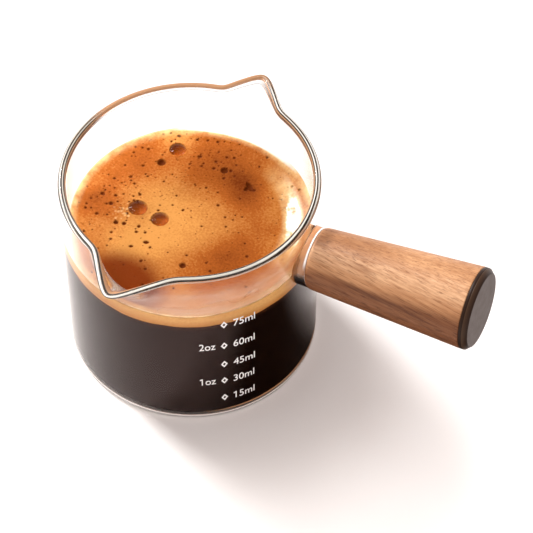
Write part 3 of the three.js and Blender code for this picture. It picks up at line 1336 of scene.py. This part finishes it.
@dataclass
class Drink:
    """Coffee up to its level with the crema on it, both reaching just into the glass."""

    glass: GlassCup
    coffee_level: float = 33.7
    crema_level: float = 36.9
    reach: float = 0.12
    coffee_gap: float = 0.04
    coffee_lap: float = 0.5
    coffee_steps: int = 256
    meniscus_rise: float = 0.5
    meniscus_width: float = 6.0
    climb: float = 1.5
    climb_azimuth: float = math.radians(22.0)
    climb_span: float = math.radians(95.0)
    ripple: float = 0.06
    painted_backlight_azimuth: float = math.radians(85.0)
    painted_backlight_span: float = math.radians(95.0)
    shine_azimuth: float = math.radians(26.0)
    shine_span: float = math.radians(45.0)
    shine_from: Pair = (1.8, 3.2)
    shine_to: Pair = (5.4, 7.4)
    cells: int = 296
    side_rows: int = 8
    side_waves: tuple[Triple, ...] = ((0.10, 5.0, 0.6), (0.07, 13.0, 0.0), (0.04, 29.0, 2.0))
    seed: int = 11
    small_bubbles: int = 420
    crowds: tuple[Cloud, ...] = (
        Cloud(-17.0, -1.0, math.sqrt(90.0), 0.55),
        Cloud(-7.0, 18.0, math.sqrt(130.0), 0.45),
    )
    crowd_least: float = 0.10
    small_width: Pair = (0.24, 0.62)
    lip: float = 0.03
    bead_count: int = 26
    bead_x: Pair = (-15.0, 1.1)
    bead_y: Pair = (-4.6, 1.3)
    bead_width: Pair = (0.25, 0.6)
    bead_glint_strength: float = 0.5
    patch_strength: float = 0.95
    patch_inner: Pair = (-6.2, -25.9)
    patch_inner_edge: Pair = (7.6, 14.0)
    patch_outer: Pair = (3.0, -4.0)
    patch_outer_edge: Pair = (21.7, 22.5)
    film: float = 0.05
    film_crown: float = 0.12
    film_steps: int = 40
    film_rings: int = 8
    covered_width: float = 3.0
    veil_strength: float = 0.32
    veil_foot_strength: float = 0.40
    veil_copper: float = 0.75
    veil_lift: float = 0.7
    veil_top: float = 48.0
    veil_fade: float = 43.0
    veil_foot: Pair = (38.0, 42.5)
    veil_depths: Pair = (0.03, 0.07)
    veil_rows: int = 24
    veil_lean: float = 0.35
    veil_span: float = math.radians(75.0)
    veil_bright: Colour = (0.98, 0.88, 0.80)
    veil_dim: Colour = (0.90, 0.56, 0.31)
    bubbles: tuple[Bubble, ...] = (
        Bubble(-12.2, -2.3, 4.3),
        Bubble(-6.2, -3.1, 4.0),
        Bubble(-12.1, 17.3, 3.8),
        Bubble(-13.7, 12.2, 2.1),
        Bubble(0.4, 16.3, 1.9),
        Bubble(4.4, -12.7, 1.6),
        Bubble(-5.9, -10.4, 1.0, 1.5, 20.0),
        Bubble(-14.7, -8.2, 1.2),
        Bubble(-12.9, -7.7, 1.1),
        Bubble(-21.4, -2.0, 1.1),
        Bubble(-18.3, -3.8, 1.1),
        Bubble(-8.4, -12.9, 0.8, 1.4, 30.0),
        Bubble(-19.8, -7.8, 0.9),
        Bubble(-9.5, -7.0, 0.9),
        Bubble(-2.1, 15.8, 0.9),
        Bubble(3.7, 6.3, 0.8),
        Bubble(7.6, 14.6, 1.2, 2.2, 150.0, 0.5),
        Bubble(8.6, 13.8, 1.0, 2.0, 10.0, 0.5),
        Bubble(7.4, 13.6, 1.0, 1.8, 75.0, 0.5),
    )
    # Lighter and darker areas of the crema's tone.
    clouds: tuple[Cloud, ...] = (
        Cloud(-2.0, -3.0, 12.0, -0.45),
        Cloud(-11.0, 3.0, 5.0, -0.20),
        Cloud(-9.0, -12.0, 7.0, -0.25),
        Cloud(12.5, -7.0, 6.5, 0.35),
        Cloud(6.5, 14.0, 5.0, 0.50),
        Cloud(-20.0, 7.5, 6.0, 0.22),
        Cloud(-22.5, -4.0, 4.0, 0.25),
        Cloud(-3.0, 20.0, 8.0, 0.25),
        Cloud(14.0, 4.0, 8.0, 0.05),
        Cloud(13.0, 19.0, 5.0, -0.20),
        Cloud(-13.0, 20.5, 4.0, -0.25),
    )
    plain_tone: float = 0.45
    side_tone: float = 0.1

    @property
    def radius(self) -> float:
        """Radius of the drink, just inside the glass's wall."""
        return self.glass.inner_radius + self.reach

    def coffee_surface(self) -> Surface:
        """The coffee as a closed turned body that follows the glass's rounded floor.

        Returns:
            The closed surface.
        """
        corner = self.glass.inner_corner
        floor = self.glass.base - self.reach
        side = self.radius - self.coffee_gap
        top = self.coffee_level + self.coffee_lap
        profile = np.concatenate([
            line((0.0, floor), (side - corner, floor), 6),
            arc((side - corner, floor + corner), corner, -90.0, 0.0, 12)[:-1],
            line((side, floor + corner), (side, top), 16),
            line((side, top), (0.0, top), 4),
            [[0.0, top]],
        ])
        return turned(profile, self.coffee_steps)

    def scattered(self) -> list[Bubble]:
        """Small bubbles, drawn so that more of them lie to the far left and along the far edge.

        Returns:
            The bubbles, from a seeded draw.
        """
        draw = np.random.default_rng(self.seed)
        count = self.small_bubbles * 6
        angle = draw.uniform(0.0, 2.0 * np.pi, count)
        radius = (self.radius - 1.0) * np.sqrt(draw.uniform(0.0, 1.0, count))
        x = radius * np.cos(angle)
        y = radius * np.sin(angle)
        chance = self.crowd_least + sum(crowd.share(x, y) for crowd in self.crowds)
        keep = draw.uniform(0.0, 1.0, count) < chance
        least, more = self.small_width
        width = least + more * draw.uniform(0.0, 1.0, count) ** 3
        return [Bubble(*each) for each in np.stack([x, y, width], axis=-1)[keep][: self.small_bubbles]]

    def top_relief(self, x: Array, y: Array) -> tuple[Array, Masks]:
        """Height of the crema's surface and the masks that its finish reads.

        The surface climbs to the glass by the power 1.5 of the distance into its edge band. A bubble is the
        lower half of an ellipsoid pressed into it, with a low raised lip.

        Args:
            x: Places along the handle's axis.
            y: Places across it.

        Returns:
            The heights and the masks by name.
        """
        away = np.hypot(x, y)
        azimuth = np.arctan2(y, x)
        climb = self.climb * self.facing(azimuth, self.climb_azimuth, self.climb_span)
        band = np.clip((away - self.radius + self.meniscus_width) / self.meniscus_width, 0.0, 1.0)
        height = self.crema_level + (self.meniscus_rise + climb) * band**1.5
        height += self.ripple * np.sin(0.31 * x + 1.0) * np.cos(0.27 * y + 0.4)
        pressed, lip, pit, dome = (np.zeros_like(x) for _ in range(4))
        for bubble in (*self.bubbles, *self.scattered()):
            near = bubble.nearness(x, y)
            bowl = np.sqrt(np.clip(1.0 - near**2, 0.0, None))
            pressed = np.maximum(pressed, bubble.depth * bubble.width * bowl)
            lip += self.lip * bubble.width * bell(near, 1.08, 0.16)
            inside = fall(near, 0.75, 1.05)
            pit = np.maximum(pit, inside)
            dome = np.maximum(dome, inside * (bubble.width > self.covered_width))
        lit = self.facing(azimuth, self.shine_azimuth, self.shine_span)
        inwards = self.radius - away
        # Painted highlight: the shine band is painted white into the colour and also gives the real coat.
        shine = lit * fall(inwards, *self.shine_to) * (1.0 - 0.85 * fall(inwards, *self.shine_from))
        # Painted backlight: the pale band widens on the far side.
        back = self.facing(azimuth, self.painted_backlight_azimuth, self.painted_backlight_span) * (1.0 - 0.6 * lit)
        masks = {
            "pit": pit,
            "dome": dome,
            "stain": self.plain_tone + sum(cloud.share(x, y) for cloud in self.clouds),
            "patch": self.smooth_patch(x, y),
            # The edge mask joins the pale foam band, painted backlight, the painted highlight and painted
            # glints.
            "edge": np.maximum(self.pale_share(inwards, back), np.maximum(0.97 * shine, self.painted_glints(x, y))),
            "side": np.zeros_like(x),
            "wet": shine * (1.0 - 0.8 * pit),
        }
        return height - pressed + lip, masks

    def facing(self, azimuth: Array, middle: float, span: float) -> Array:
        """Falls smoothly from 1 at an azimuth to 0 at a span to either side of it."""
        return fall(np.abs(turn_from(azimuth, middle)), 0.0, span)

    def pale_share(self, inwards: Array, back: Array) -> Array:
        """The pale foam band at the glass by the distance inwards, narrow all round and widened on the far
        side as painted backlight.
        """
        return np.maximum(fall(inwards, 0.2, 2.9) * back, 0.6 * fall(inwards, 0.0, 2.4))

    def painted_glints(self, x: Array, y: Array) -> Array:
        """A cluster of tiny beads beside the widest bubble, painted pale as glints, from a seeded draw.

        Args:
            x: Places along the handle's axis.
            y: Places across it.

        Returns:
            The painted glints' strength at each place.
        """
        draw = np.random.default_rng(self.seed + 1)
        share = np.zeros_like(x)
        for bead_x, bead_y, width in zip(
            draw.normal(*self.bead_x, self.bead_count),
            draw.normal(*self.bead_y, self.bead_count),
            draw.uniform(*self.bead_width, self.bead_count),
        ):
            near = Bubble(bead_x, bead_y, width).nearness(x, y)
            share = np.maximum(share, self.bead_glint_strength * fall(near, 0.3, 1.5))
        return share

    def smooth_patch(self, x: Array, y: Array) -> Array:
        """The smooth darker patch at the near spout, a lens between a soft inner and a crisp outer edge.

        Args:
            x: Places along the handle's axis.
            y: Places across it.

        Returns:
            The patch's strength at each place.
        """
        share = np.full_like(x, self.patch_strength)
        for (middle_x, middle_y), edge in (
            (self.patch_inner, self.patch_inner_edge),
            (self.patch_outer, self.patch_outer_edge),
        ):
            share *= fall(np.hypot(x - middle_x, y - middle_y), *edge)
        return share

    def crema_surface(self) -> tuple[Surface, Masks]:
        """The crema as a closed body with a finely divided top.

        A square grid (u, v) is carried onto the disc by x = u sqrt(1 - v v / 2), y = v sqrt(1 - u u / 2).
        The grid's outline then goes down the wall to a slightly wavy lower edge and closes underneath.

        Returns:
            The closed surface and the masks for each of its points.
        """
        count = self.cells + 1
        share = np.linspace(-1.0, 1.0, count)
        u, v = np.meshgrid(share, share, indexing="ij")
        x = (self.radius * u * np.sqrt(1.0 - v**2 / 2.0)).ravel()
        y = (self.radius * v * np.sqrt(1.0 - u**2 / 2.0)).ravel()
        height, masks = self.top_relief(x, y)
        top = np.stack([x, y, height], axis=-1)
        grid = np.arange(count * count).reshape(count, count)
        rim = np.concatenate([grid[:-1, 0], grid[-1, :-1], grid[:0:-1, -1], grid[0, :0:-1]])
        edge = top[rim]
        angle = np.arctan2(edge[:, 1], edge[:, 0])
        waves = sum(size * np.sin(turns * angle + shift) for size, turns, shift in self.side_waves)
        low = self.coffee_level + waves
        share = np.linspace(0.0, 1.0, self.side_rows + 1)[1:, None]
        side = np.broadcast_to(edge, (self.side_rows, *edge.shape)).copy()
        side[..., 2] = edge[:, 2] * (1.0 - share) + low * share
        centre = np.array([[0.0, 0.0, self.coffee_level]])
        points = np.concatenate([top, side.reshape(-1, 3), centre])
        rest = len(points) - len(top)
        rows = np.concatenate([rim[None], len(top) + np.arange(rest - 1).reshape(self.side_rows, -1)])
        last = np.full(len(rim), len(points) - 1)
        under = np.stack([last, np.roll(rows[-1], -1), rows[-1]], axis=-1)
        below = {"stain": self.side_tone, "side": 1.0}
        for key, values in masks.items():
            masks[key] = np.concatenate([values, np.full(rest, below.get(key, 0.0))])
        return Surface(points, np.concatenate([grid_faces(grid), row_faces(rows[::-1])]), under), masks

    def wall_film(self) -> tuple[Surface, Masks]:
        """The faint film that the crema leaves on the near inside of the wall, uneven and fading upwards.

        Returns:
            The closed surface and its masks.
        """
        glass = self.glass
        height = np.linspace(self.crema_level + self.veil_lift, self.veil_top, self.veil_rows)
        height = out_and_back(height, height)
        radius = np.repeat(glass.inner_radius - np.array(self.veil_depths), self.veil_rows)
        azimuth = glass.crowded_angles()
        points = glass.swept(radius, height, azimuth)
        up = height[:, None]
        front = self.facing(azimuth, glass.near_azimuth + self.veil_lean, self.veil_span)
        uneven = 0.8 + 0.2 * np.sin(7.0 * azimuth + 0.5 * up) * np.sin(13.0 * azimuth - 0.9 * up)
        low = fall(up, *self.veil_foot)
        strength = (self.veil_strength + self.veil_foot_strength * low) * front * uneven
        strength = strength * fall(up, self.veil_fade, self.veil_top)
        masks = band_masks(uneven.shape, strength, self.veil_copper * low * uneven, 0.0)
        return thin_skin(points, inwards=True), masks

    def film_surface(self) -> Surface:
        """Thin clear domes over the widest bubbles, all as one surface.

        A dome is a low cap, its height falling from the crown by the square of the distance out, with a
        second cap under it at the thickness of the film.

        Returns:
            The closed surface.
        """
        whole = NOTHING
        out = np.linspace(0.0, 1.0, self.film_rings + 1)
        for bubble in (each for each in self.bubbles if each.width > self.covered_width):
            cap = bubble.width * np.stack([0.5 * out, self.film_crown * (1.0 - out**2)], axis=-1)
            dome = turned(out_and_back(cap - np.array([0.0, self.film]), cap), self.film_steps)
            dome.points += np.array([bubble.x, bubble.y, self.crema_level])
            whole = whole.joined(dome)
        return whole

    def build(self) -> None:
        """Makes the coffee, the crema, its film on the wall and the clear domes over its widest bubbles."""
        brown = CoffeeFinish("coffee", self.coffee_level)
        coffee = make_piece("coffee_body", self.coffee_surface(), brown.material())
        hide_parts("coffee")
        foam = CremaFinish("crema", self.coffee_level)
        surface, masks = self.crema_surface()
        crema = make_piece("crema_foam", surface, foam.material(), masks)
        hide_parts("crema")
        veil = BandFinish("wall_film", self.veil_bright, self.veil_dim)
        surface, masks = self.wall_film()
        make_piece("crema_wall_film", surface, veil.material(), masks)
        film = ClearFinish("bubble_film", ior=1.15, glint=(0.9, 0.8, 0.7), shade=(0.98, 0.96, 0.94))
        make_piece("crema_bubble_films", self.film_surface(), film.material())


@dataclass(frozen=True)
class ScaleMark:
    """A line of the volume scale: its height, the label beside the mark and one before it, if any."""

    height: float
    label: str
    before: str = ""


@dataclass
class VolumeScale:
    """White printed marks and plain numbers that follow the round of the glass."""

    glass: GlassCup
    azimuth: float = math.radians(-48.9)
    marks: tuple[ScaleMark, ...] = (
        ScaleMark(34.4, "75ml"),
        ScaleMark(26.8, "60ml", "2oz"),
        ScaleMark(19.95, "45ml"),
        ScaleMark(13.75, "30ml", "1oz"),
        ScaleMark(7.2, "15ml"),
    )
    mark_width: float = 1.55
    mark_height: float = 2.4
    stroke: float = 0.34
    digit_height: float = 2.35
    label_slimness: float = 0.80
    before_slimness: float = 0.745
    before_rise: float = 0.40
    label_gap: float = 2.15
    before_gap: float = 2.0
    flag_width: float = 0.42
    flag_drop: float = 0.62
    flag_stroke: float = 0.34
    flag_lap: float = 0.1
    ink: float = 0.035
    white: Colour = (0.99, 0.99, 0.98)
    off_white: Colour = (0.97, 0.97, 0.96)

    def wrapped(self, across: Array, up: Array, out: Array) -> Array:
        """Lays flat print round the glass: the distance across becomes an angle at the outer radius.

        Args:
            across: Distances from the scale's middle line.
            up: Heights.
            out: Distances out of the glass's surface.

        Returns:
            The points in space.
        """
        angle = self.azimuth + across / self.glass.radius
        radius = self.glass.radius + out
        return np.stack([radius * np.cos(angle), radius * np.sin(angle), up], axis=-1)

    def mark_surface(self, height: float) -> Surface:
        """A closed hollow lozenge: the four corners of a square section carried round four corners.

        Args:
            height: Height of its centre.

        Returns:
            The closed surface.
        """
        corner = full_turn(4)
        hole = 1.0 - 2.0 * self.stroke * math.hypot(1.0 / self.mark_width, 1.0 / self.mark_height)
        share = np.array([1.0, 1.0, hole, hole])[:, None]
        out = np.array([-self.ink, self.ink, self.ink, -self.ink])[:, None] + np.zeros(4)
        across = 0.5 * self.mark_width * share * np.cos(corner)
        up = height + 0.5 * self.mark_height * share * np.sin(corner)
        return thin_skin(self.wrapped(across, up, out))

    def flag_surface(self, stem: float, top: float) -> Surface:
        """The slanting flag of the digit one, as a thin solid with four corners and two sides.

        Args:
            stem: Distance of the stem's left edge from the scale's middle line.
            top: Height of the stem's top.

        Returns:
            The closed surface.
        """
        across = stem + np.array([self.flag_lap, -self.flag_width, -self.flag_width, self.flag_lap])
        drop = np.array([0.0, self.flag_drop - self.flag_stroke, self.flag_drop, self.flag_stroke])
        sides = [self.wrapped(across, top - drop, np.full(4, out)) for out in (-self.ink, self.ink)]
        faces = np.concatenate([ring_faces(2, 4), [[3, 2, 1, 0], [4, 5, 6, 7]]])
        return Surface(np.concatenate(sides), faces, NO_TRIANGLES)

    def flat_text(self, text: str) -> tuple[Array, Array]:
        """The characters in Blender's own font as a flat solid.

        Args:
            text: The characters.

        Returns:
            The points and the triangles.
        """
        curve = bpy.data.curves.new("scale_text", "FONT")
        curve.body = text
        curve.extrude = 0.01
        curve.resolution_u = 4
        holder = add_object("scale_text", curve)
        bpy.context.view_layer.update()
        mesh = bpy.data.meshes.new_from_object(holder.evaluated_get(bpy.context.evaluated_depsgraph_get()))
        points = np.empty(len(mesh.vertices) * 3)
        mesh.vertices.foreach_get("co", points)
        mesh.calc_loop_triangles()
        triangles = np.empty(len(mesh.loop_triangles) * 3, dtype=np.int32)
        mesh.loop_triangles.foreach_get("vertices", triangles)
        bpy.data.objects.remove(holder)
        bpy.data.curves.remove(curve)
        bpy.data.meshes.remove(mesh)
        return points.reshape(-1, 3), triangles.reshape(-1, 3).astype(np.int64)

    def text_surface(self, text: str, start: float, height: float, ends_there: bool) -> Surface:
        """Plain numbers as a thin solid, laid round the glass.

        Args:
            text: The characters.
            start: Distance of their near end from the scale's middle line.
            height: Height of the middle of the digits.
            ends_there: True if the characters end at start, and False if they begin there.

        Returns:
            The closed surface.
        """
        flat, triangles = self.flat_text(text)
        scale = self.digit_height / flat[:, 1].max()
        slim = scale * (self.before_slimness if ends_there else self.label_slimness)
        flagged = text.startswith("1")
        left, right = flat[:, 0].min(), flat[:, 0].max()
        begin = start - (right - left) * slim if ends_there else start + self.flag_width * flagged
        across = begin + (flat[:, 0] - left) * slim
        up = height + flat[:, 1] * scale - self.digit_height / 2.0
        points = self.wrapped(across, up, np.sign(flat[:, 2]) * self.ink)
        surface = Surface(points, NO_QUADS, triangles)
        if flagged:
            surface = surface.joined(self.flag_surface(begin, height + self.digit_height / 2.0))
        return surface

    def build(self) -> None:
        """Makes the whole printed scale as one piece with flat faces."""
        whole = NOTHING
        for mark in self.marks:
            whole = whole.joined(self.mark_surface(mark.height))
            whole = whole.joined(self.text_surface(mark.label, self.label_gap, mark.height, False))
            if mark.before:
                height = mark.height + self.before_rise
                whole = whole.joined(self.text_surface(mark.before, -self.before_gap, height, True))
        ink = EvenFinish("white_print", self.white, self.off_white, (0.45, 0.55), 900.0)
        piece = make_piece("printed_volume_scale", whole, ink.material())
        piece.data.polygons.foreach_set("use_smooth", np.zeros(len(piece.data.polygons), dtype=bool))


@dataclass
class Handle:
    """The turned handle on the glass's boss: a widening wooden grip and a bevelled end cap."""

    axis: HandleAxis = HandleAxis()
    wood_start: float = 31.2
    wood_start_radius: float = 7.1
    wood_end: float = 68.25
    wood_end_radius: float = 9.2
    near_round: float = 1.0
    far_round: float = 0.25
    cap_gap: float = 0.02
    cap_end: float = 70.1
    cap_face_radius: float = 8.25
    cap_band: float = 0.75
    cap_groove: float = 0.10
    cap_soft: float = 0.12
    cap_face_from: float = 69.0
    near_end: Pair = (40.0, 56.0)
    near_shade: float = 0.28
    painted_shade_middle: float = -3.0
    painted_shade_turn: Pair = (49.0, 66.0)
    painted_gleam_turn: float = -31.0
    painted_gleam_half: float = 15.0
    steps: int = 160

    def along_axis(self, surface: Surface) -> Surface:
        """Lays a body turned about +Z along the tilted handle.

        Args:
            surface: The body, with its height as the distance along the handle from the glass's axis.

        Returns:
            The same surface in place.
        """
        axis = self.axis
        surface.points = axis.start + surface.points @ np.stack([-axis.up, axis.across, axis.along])
        return surface

    def wood_surface(self) -> Surface:
        """The closed grip: rounded near end, straight widening side and a fine rounded edge at the cap.

        Returns:
            The surface in place.
        """
        near = self.near_round
        far = self.far_round
        start = (self.wood_start_radius - near, self.wood_start + near)
        end = (self.wood_end_radius - far, self.wood_end - far)
        profile = np.concatenate([
            line((0.0, self.wood_start), (start[0], self.wood_start), 6),
            arc(start, near, -90.0, 0.0, 10)[:-1],
            line((self.wood_start_radius, start[1]), (self.wood_end_radius, end[1]), 40),
            arc(end, far, 0.0, 90.0, 6)[:-1],
            line((end[0], self.wood_end), (0.0, self.wood_end), 6),
            [[0.0, self.wood_end]],
        ])
        return self.along_axis(turned(profile, self.steps))

    def cap_surface(self) -> Surface:
        """The closed end cap: a band, a fine groove, a bevel and a flat face with softened edges.

        Returns:
            The surface in place.
        """
        start = self.wood_end + self.cap_gap
        radius = self.wood_end_radius
        band = start + self.cap_band
        soft = self.cap_soft
        face = self.cap_face_radius
        profile = np.array([
            [0.0, start],
            [face, start],
            [radius - soft, start],
            [radius, start + soft],
            [radius, band - 0.16],
            [radius - 0.02, band - 0.12],
            [radius - self.cap_groove, band - 0.06],
            [radius - self.cap_groove, band],
            [radius - 0.04, band + 0.06],
            [radius - 0.05, band + 0.12],
            [face + soft, self.cap_end - 0.14],
            [face + 0.5 * soft, self.cap_end - 0.04],
            [face - soft, self.cap_end],
            [face - 3.0 * soft, self.cap_end],
            [0.5 * face, self.cap_end],
            [0.0, self.cap_end],
        ])
        return self.along_axis(turned(profile, self.steps))

    def place_on(self, surface: Surface) -> tuple[Array, Array, Array]:
        """Place of a surface's points on the handle.

        Args:
            surface: The surface.

        Returns:
            The distance along the axis, the distance from it and the turn from straight up to the left.
        """
        from_start = surface.points - self.axis.start
        along = from_start @ self.axis.along
        side = from_start @ self.axis.across
        up = from_start @ self.axis.up
        return along, np.hypot(up, side), np.degrees(np.arctan2(side, up))

    def wood_masks(self, surface: Surface) -> Masks:
        """Painted shade on the underside and by the glass, and a painted highlight along the upper near
        side.

        Args:
            surface: The grip.

        Returns:
            The masks by name.
        """
        along, _, turn = self.place_on(surface)
        near_end = fall(along, *self.near_end)
        # Painted shade: darker round the underside and towards the glass end.
        under = rise(np.abs(turn - self.painted_shade_middle), *self.painted_shade_turn)
        return {
            "under": np.maximum(under, self.near_shade * near_end),
            "gleam": bell(turn, self.painted_gleam_turn, self.painted_gleam_half) * (0.7 + 0.3 * near_end),
        }

    def cap_masks(self, surface: Surface) -> Masks:
        """The flat end face, where the painted reflection lies, and the fine bright edge of the bevel.

        Args:
            surface: The cap.

        Returns:
            The masks by name.
        """
        along, away, _ = self.place_on(surface)
        face = fall(away, self.cap_face_radius - self.cap_soft, self.cap_face_radius)
        return {
            "face": face * (along > self.cap_face_from),
            "edge": bell(along, self.wood_end + self.cap_band + 0.1, 0.07),
        }

    def build(self) -> None:
        """Makes the grip and the cap in the place of their solids."""
        wood = self.wood_surface()
        oiled = WoodFinish("oiled_wood")
        grip = make_piece("wooden_grip", wood, oiled.material(), self.wood_masks(wood))
        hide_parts("handle_wood")
        shell = self.cap_surface()
        brown = CapFinish("cap_brown")
        cap = make_piece("end_cap", shell, brown.material(), self.cap_masks(shell))
        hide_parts("handle_cap")
        for piece in (grip, cap):
            piece.visible_shadow = False


@dataclass(frozen=True)
class Lamp:
    """A soft lamp: where it stands and how wide and tall it looks, in degrees, and how bright it is.

    Its brightness is the share of white that it gives a white floor under the glass.
    """

    name: str
    azimuth: float
    elevation: float
    width: float
    height: float
    brightness: float


@dataclass
class Studio:
    """Pale floor, soft light from the far left, and the camera at the photograph's viewing angle."""

    target: Triple = (15.54, 7.25, 20.1)
    azimuth: float = math.radians(-65.0)
    elevation: float = math.radians(51.39)
    distance: float = 496.8
    roll: float = math.radians(0.74)
    focal_share: float = 2150.0 / 533.0
    sensor: float = 36.0
    lamps: tuple[Lamp, ...] = (
        Lamp("key", 162.0, 46.0, 8.0, 42.0, 0.61),
        Lamp("window", 155.0, 35.0, 7.0, 7.0, 0.24),
    )
    lamp_distance: float = 2000.0
    sky: float = 0.82
    sky_colour: Colour = (1.0, 0.89, 0.855)
    paper: Colour = (0.93, 0.92, 0.91)
    floor_reach: float = 4000.0
    floor_rise: float = 0.02
    card_x: Pair = (0.0, 130.0)
    card_y: Pair = (-75.0, 45.0)
    card_rise: float = 0.3
    card_cells: int = 60
    card_lean: float = 0.21
    card_edges: Pair = (-20.5, 18.5)
    card_soft: float = 8.5
    bounces: int = 24

    def direction(self, azimuth: float, elevation: float) -> Vector:
        """Unit vector towards an azimuth and an elevation."""
        level = math.cos(elevation)
        return Vector((level * math.cos(azimuth), level * math.sin(azimuth), math.sin(elevation)))

    def add_camera(self) -> None:
        """Adds the camera and makes it the scene's own."""
        data = bpy.data.cameras.new("camera")
        data.sensor_fit = "HORIZONTAL"
        data.sensor_width = self.sensor
        data.lens = self.focal_share * self.sensor
        data.clip_start = 0.01
        data.clip_end = 50.0
        camera = add_object("camera", data)
        back = self.direction(self.azimuth, self.elevation)
        right = Vector((0.0, 0.0, 1.0)).cross(back).normalized()
        up = back.cross(right)
        rolled_right = math.cos(self.roll) * right + math.sin(self.roll) * up
        rolled_up = math.cos(self.roll) * up - math.sin(self.roll) * right
        place = (Vector(self.target) + back * self.distance) * MM
        columns = (rolled_right.to_4d(), rolled_up.to_4d(), back.to_4d(), place.to_4d())
        for column, last in zip(columns, (0.0, 0.0, 0.0, 1.0)):
            column.w = last
        camera.matrix_world = Matrix(columns).transposed()
        bpy.context.scene.camera = camera

    def add_floor(self) -> None:
        """Adds the plain pale floor just under the glass."""
        reach = self.floor_reach * MM
        mesh = bpy.data.meshes.new("floor")
        outline = [(-reach, -reach), (reach, -reach), (reach, reach), (-reach, reach)]
        mesh.from_pydata([(*corner, self.floor_rise * MM) for corner in outline], [], [(0, 1, 2, 3)])
        mesh.materials.append(EvenFinish("pale_floor", self.paper, self.paper, (0.8, 0.8), 10.0).material())
        floor = add_object("floor", mesh)

    def add_painted_shadow_card(self) -> None:
        """Lays a painted shadow card, black with pale soft edges, where the shadow falls, which only
        reflections see.
        """
        count = self.card_cells + 1
        x, y = np.meshgrid(np.linspace(*self.card_x, count), np.linspace(*self.card_y, count), indexing="ij")
        points = np.stack([x, y, np.full_like(x, self.card_rise)], axis=-1).reshape(-1, 3)
        faces = grid_faces(np.arange(count * count).reshape(count, count))
        mesh = bpy.data.meshes.new("painted_shadow_card")
        mesh.from_pydata(points * MM, [], faces.tolist())
        across = y + self.card_lean * x
        front, back = self.card_edges
        soft = self.card_soft
        dark = rise(across, front - soft, front + soft) * fall(across, back - soft, back + soft)
        set_masks(mesh, band_masks(x.shape, 1.0, 0.0, dark))
        mesh.materials.append(BandFinish("painted_shadow_card", self.paper, self.paper).material())
        card = add_object("painted_shadow_card", mesh)
        card.visible_camera = False
        card.visible_diffuse = False
        card.visible_transmission = False
        card.visible_shadow = False

    def add_lights(self) -> None:
        """Adds the soft lamps and the even, slightly warm sky."""
        far = self.lamp_distance * MM
        for lamp in self.lamps:
            elevation = math.radians(lamp.elevation)
            data = bpy.data.lights.new(lamp.name, "AREA")
            data.shape = "RECTANGLE"
            data.size = 2.0 * far * math.tan(math.radians(lamp.width / 2.0))
            data.size_y = 2.0 * far * math.tan(math.radians(lamp.height / 2.0))
            data.energy = lamp.brightness * (math.pi * far) ** 2 / math.sin(elevation)
            light = add_object(lamp.name, data)
            towards = self.direction(math.radians(lamp.azimuth), elevation)
            light.location = towards * far
            light.rotation_euler = towards.to_track_quat("Z", "Y").to_euler()
        world = bpy.data.worlds.new("warm_room")
        world.use_nodes = True
        backdrop = world.node_tree.nodes["Background"]
        backdrop.inputs["Color"].default_value = (*self.sky_colour, 1.0)
        backdrop.inputs["Strength"].default_value = self.sky
        bpy.context.scene.world = world

    def build(self) -> None:
        """Sets up camera, floor and light."""
        self.add_camera()
        self.add_floor()
        self.add_painted_shadow_card()
        self.add_lights()
        scene = bpy.context.scene
        scene.view_settings.view_transform = "Standard"
        scene.cycles.max_bounces = self.bounces
        scene.cycles.transmission_bounces = self.bounces
        scene.cycles.glossy_bounces = self.bounces
        LOG.info("studio ready")


def main() -> None:
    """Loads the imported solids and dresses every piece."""
    logging.basicConfig(level=logging.INFO, format="%(name)s %(message)s")
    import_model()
    Studio().build()
    glass = GlassCup.from_frame()
    glass.build()
    Drink(glass).build()
    VolumeScale(glass).build()
    Handle().build()


if __name__ == "__main__":
    main()
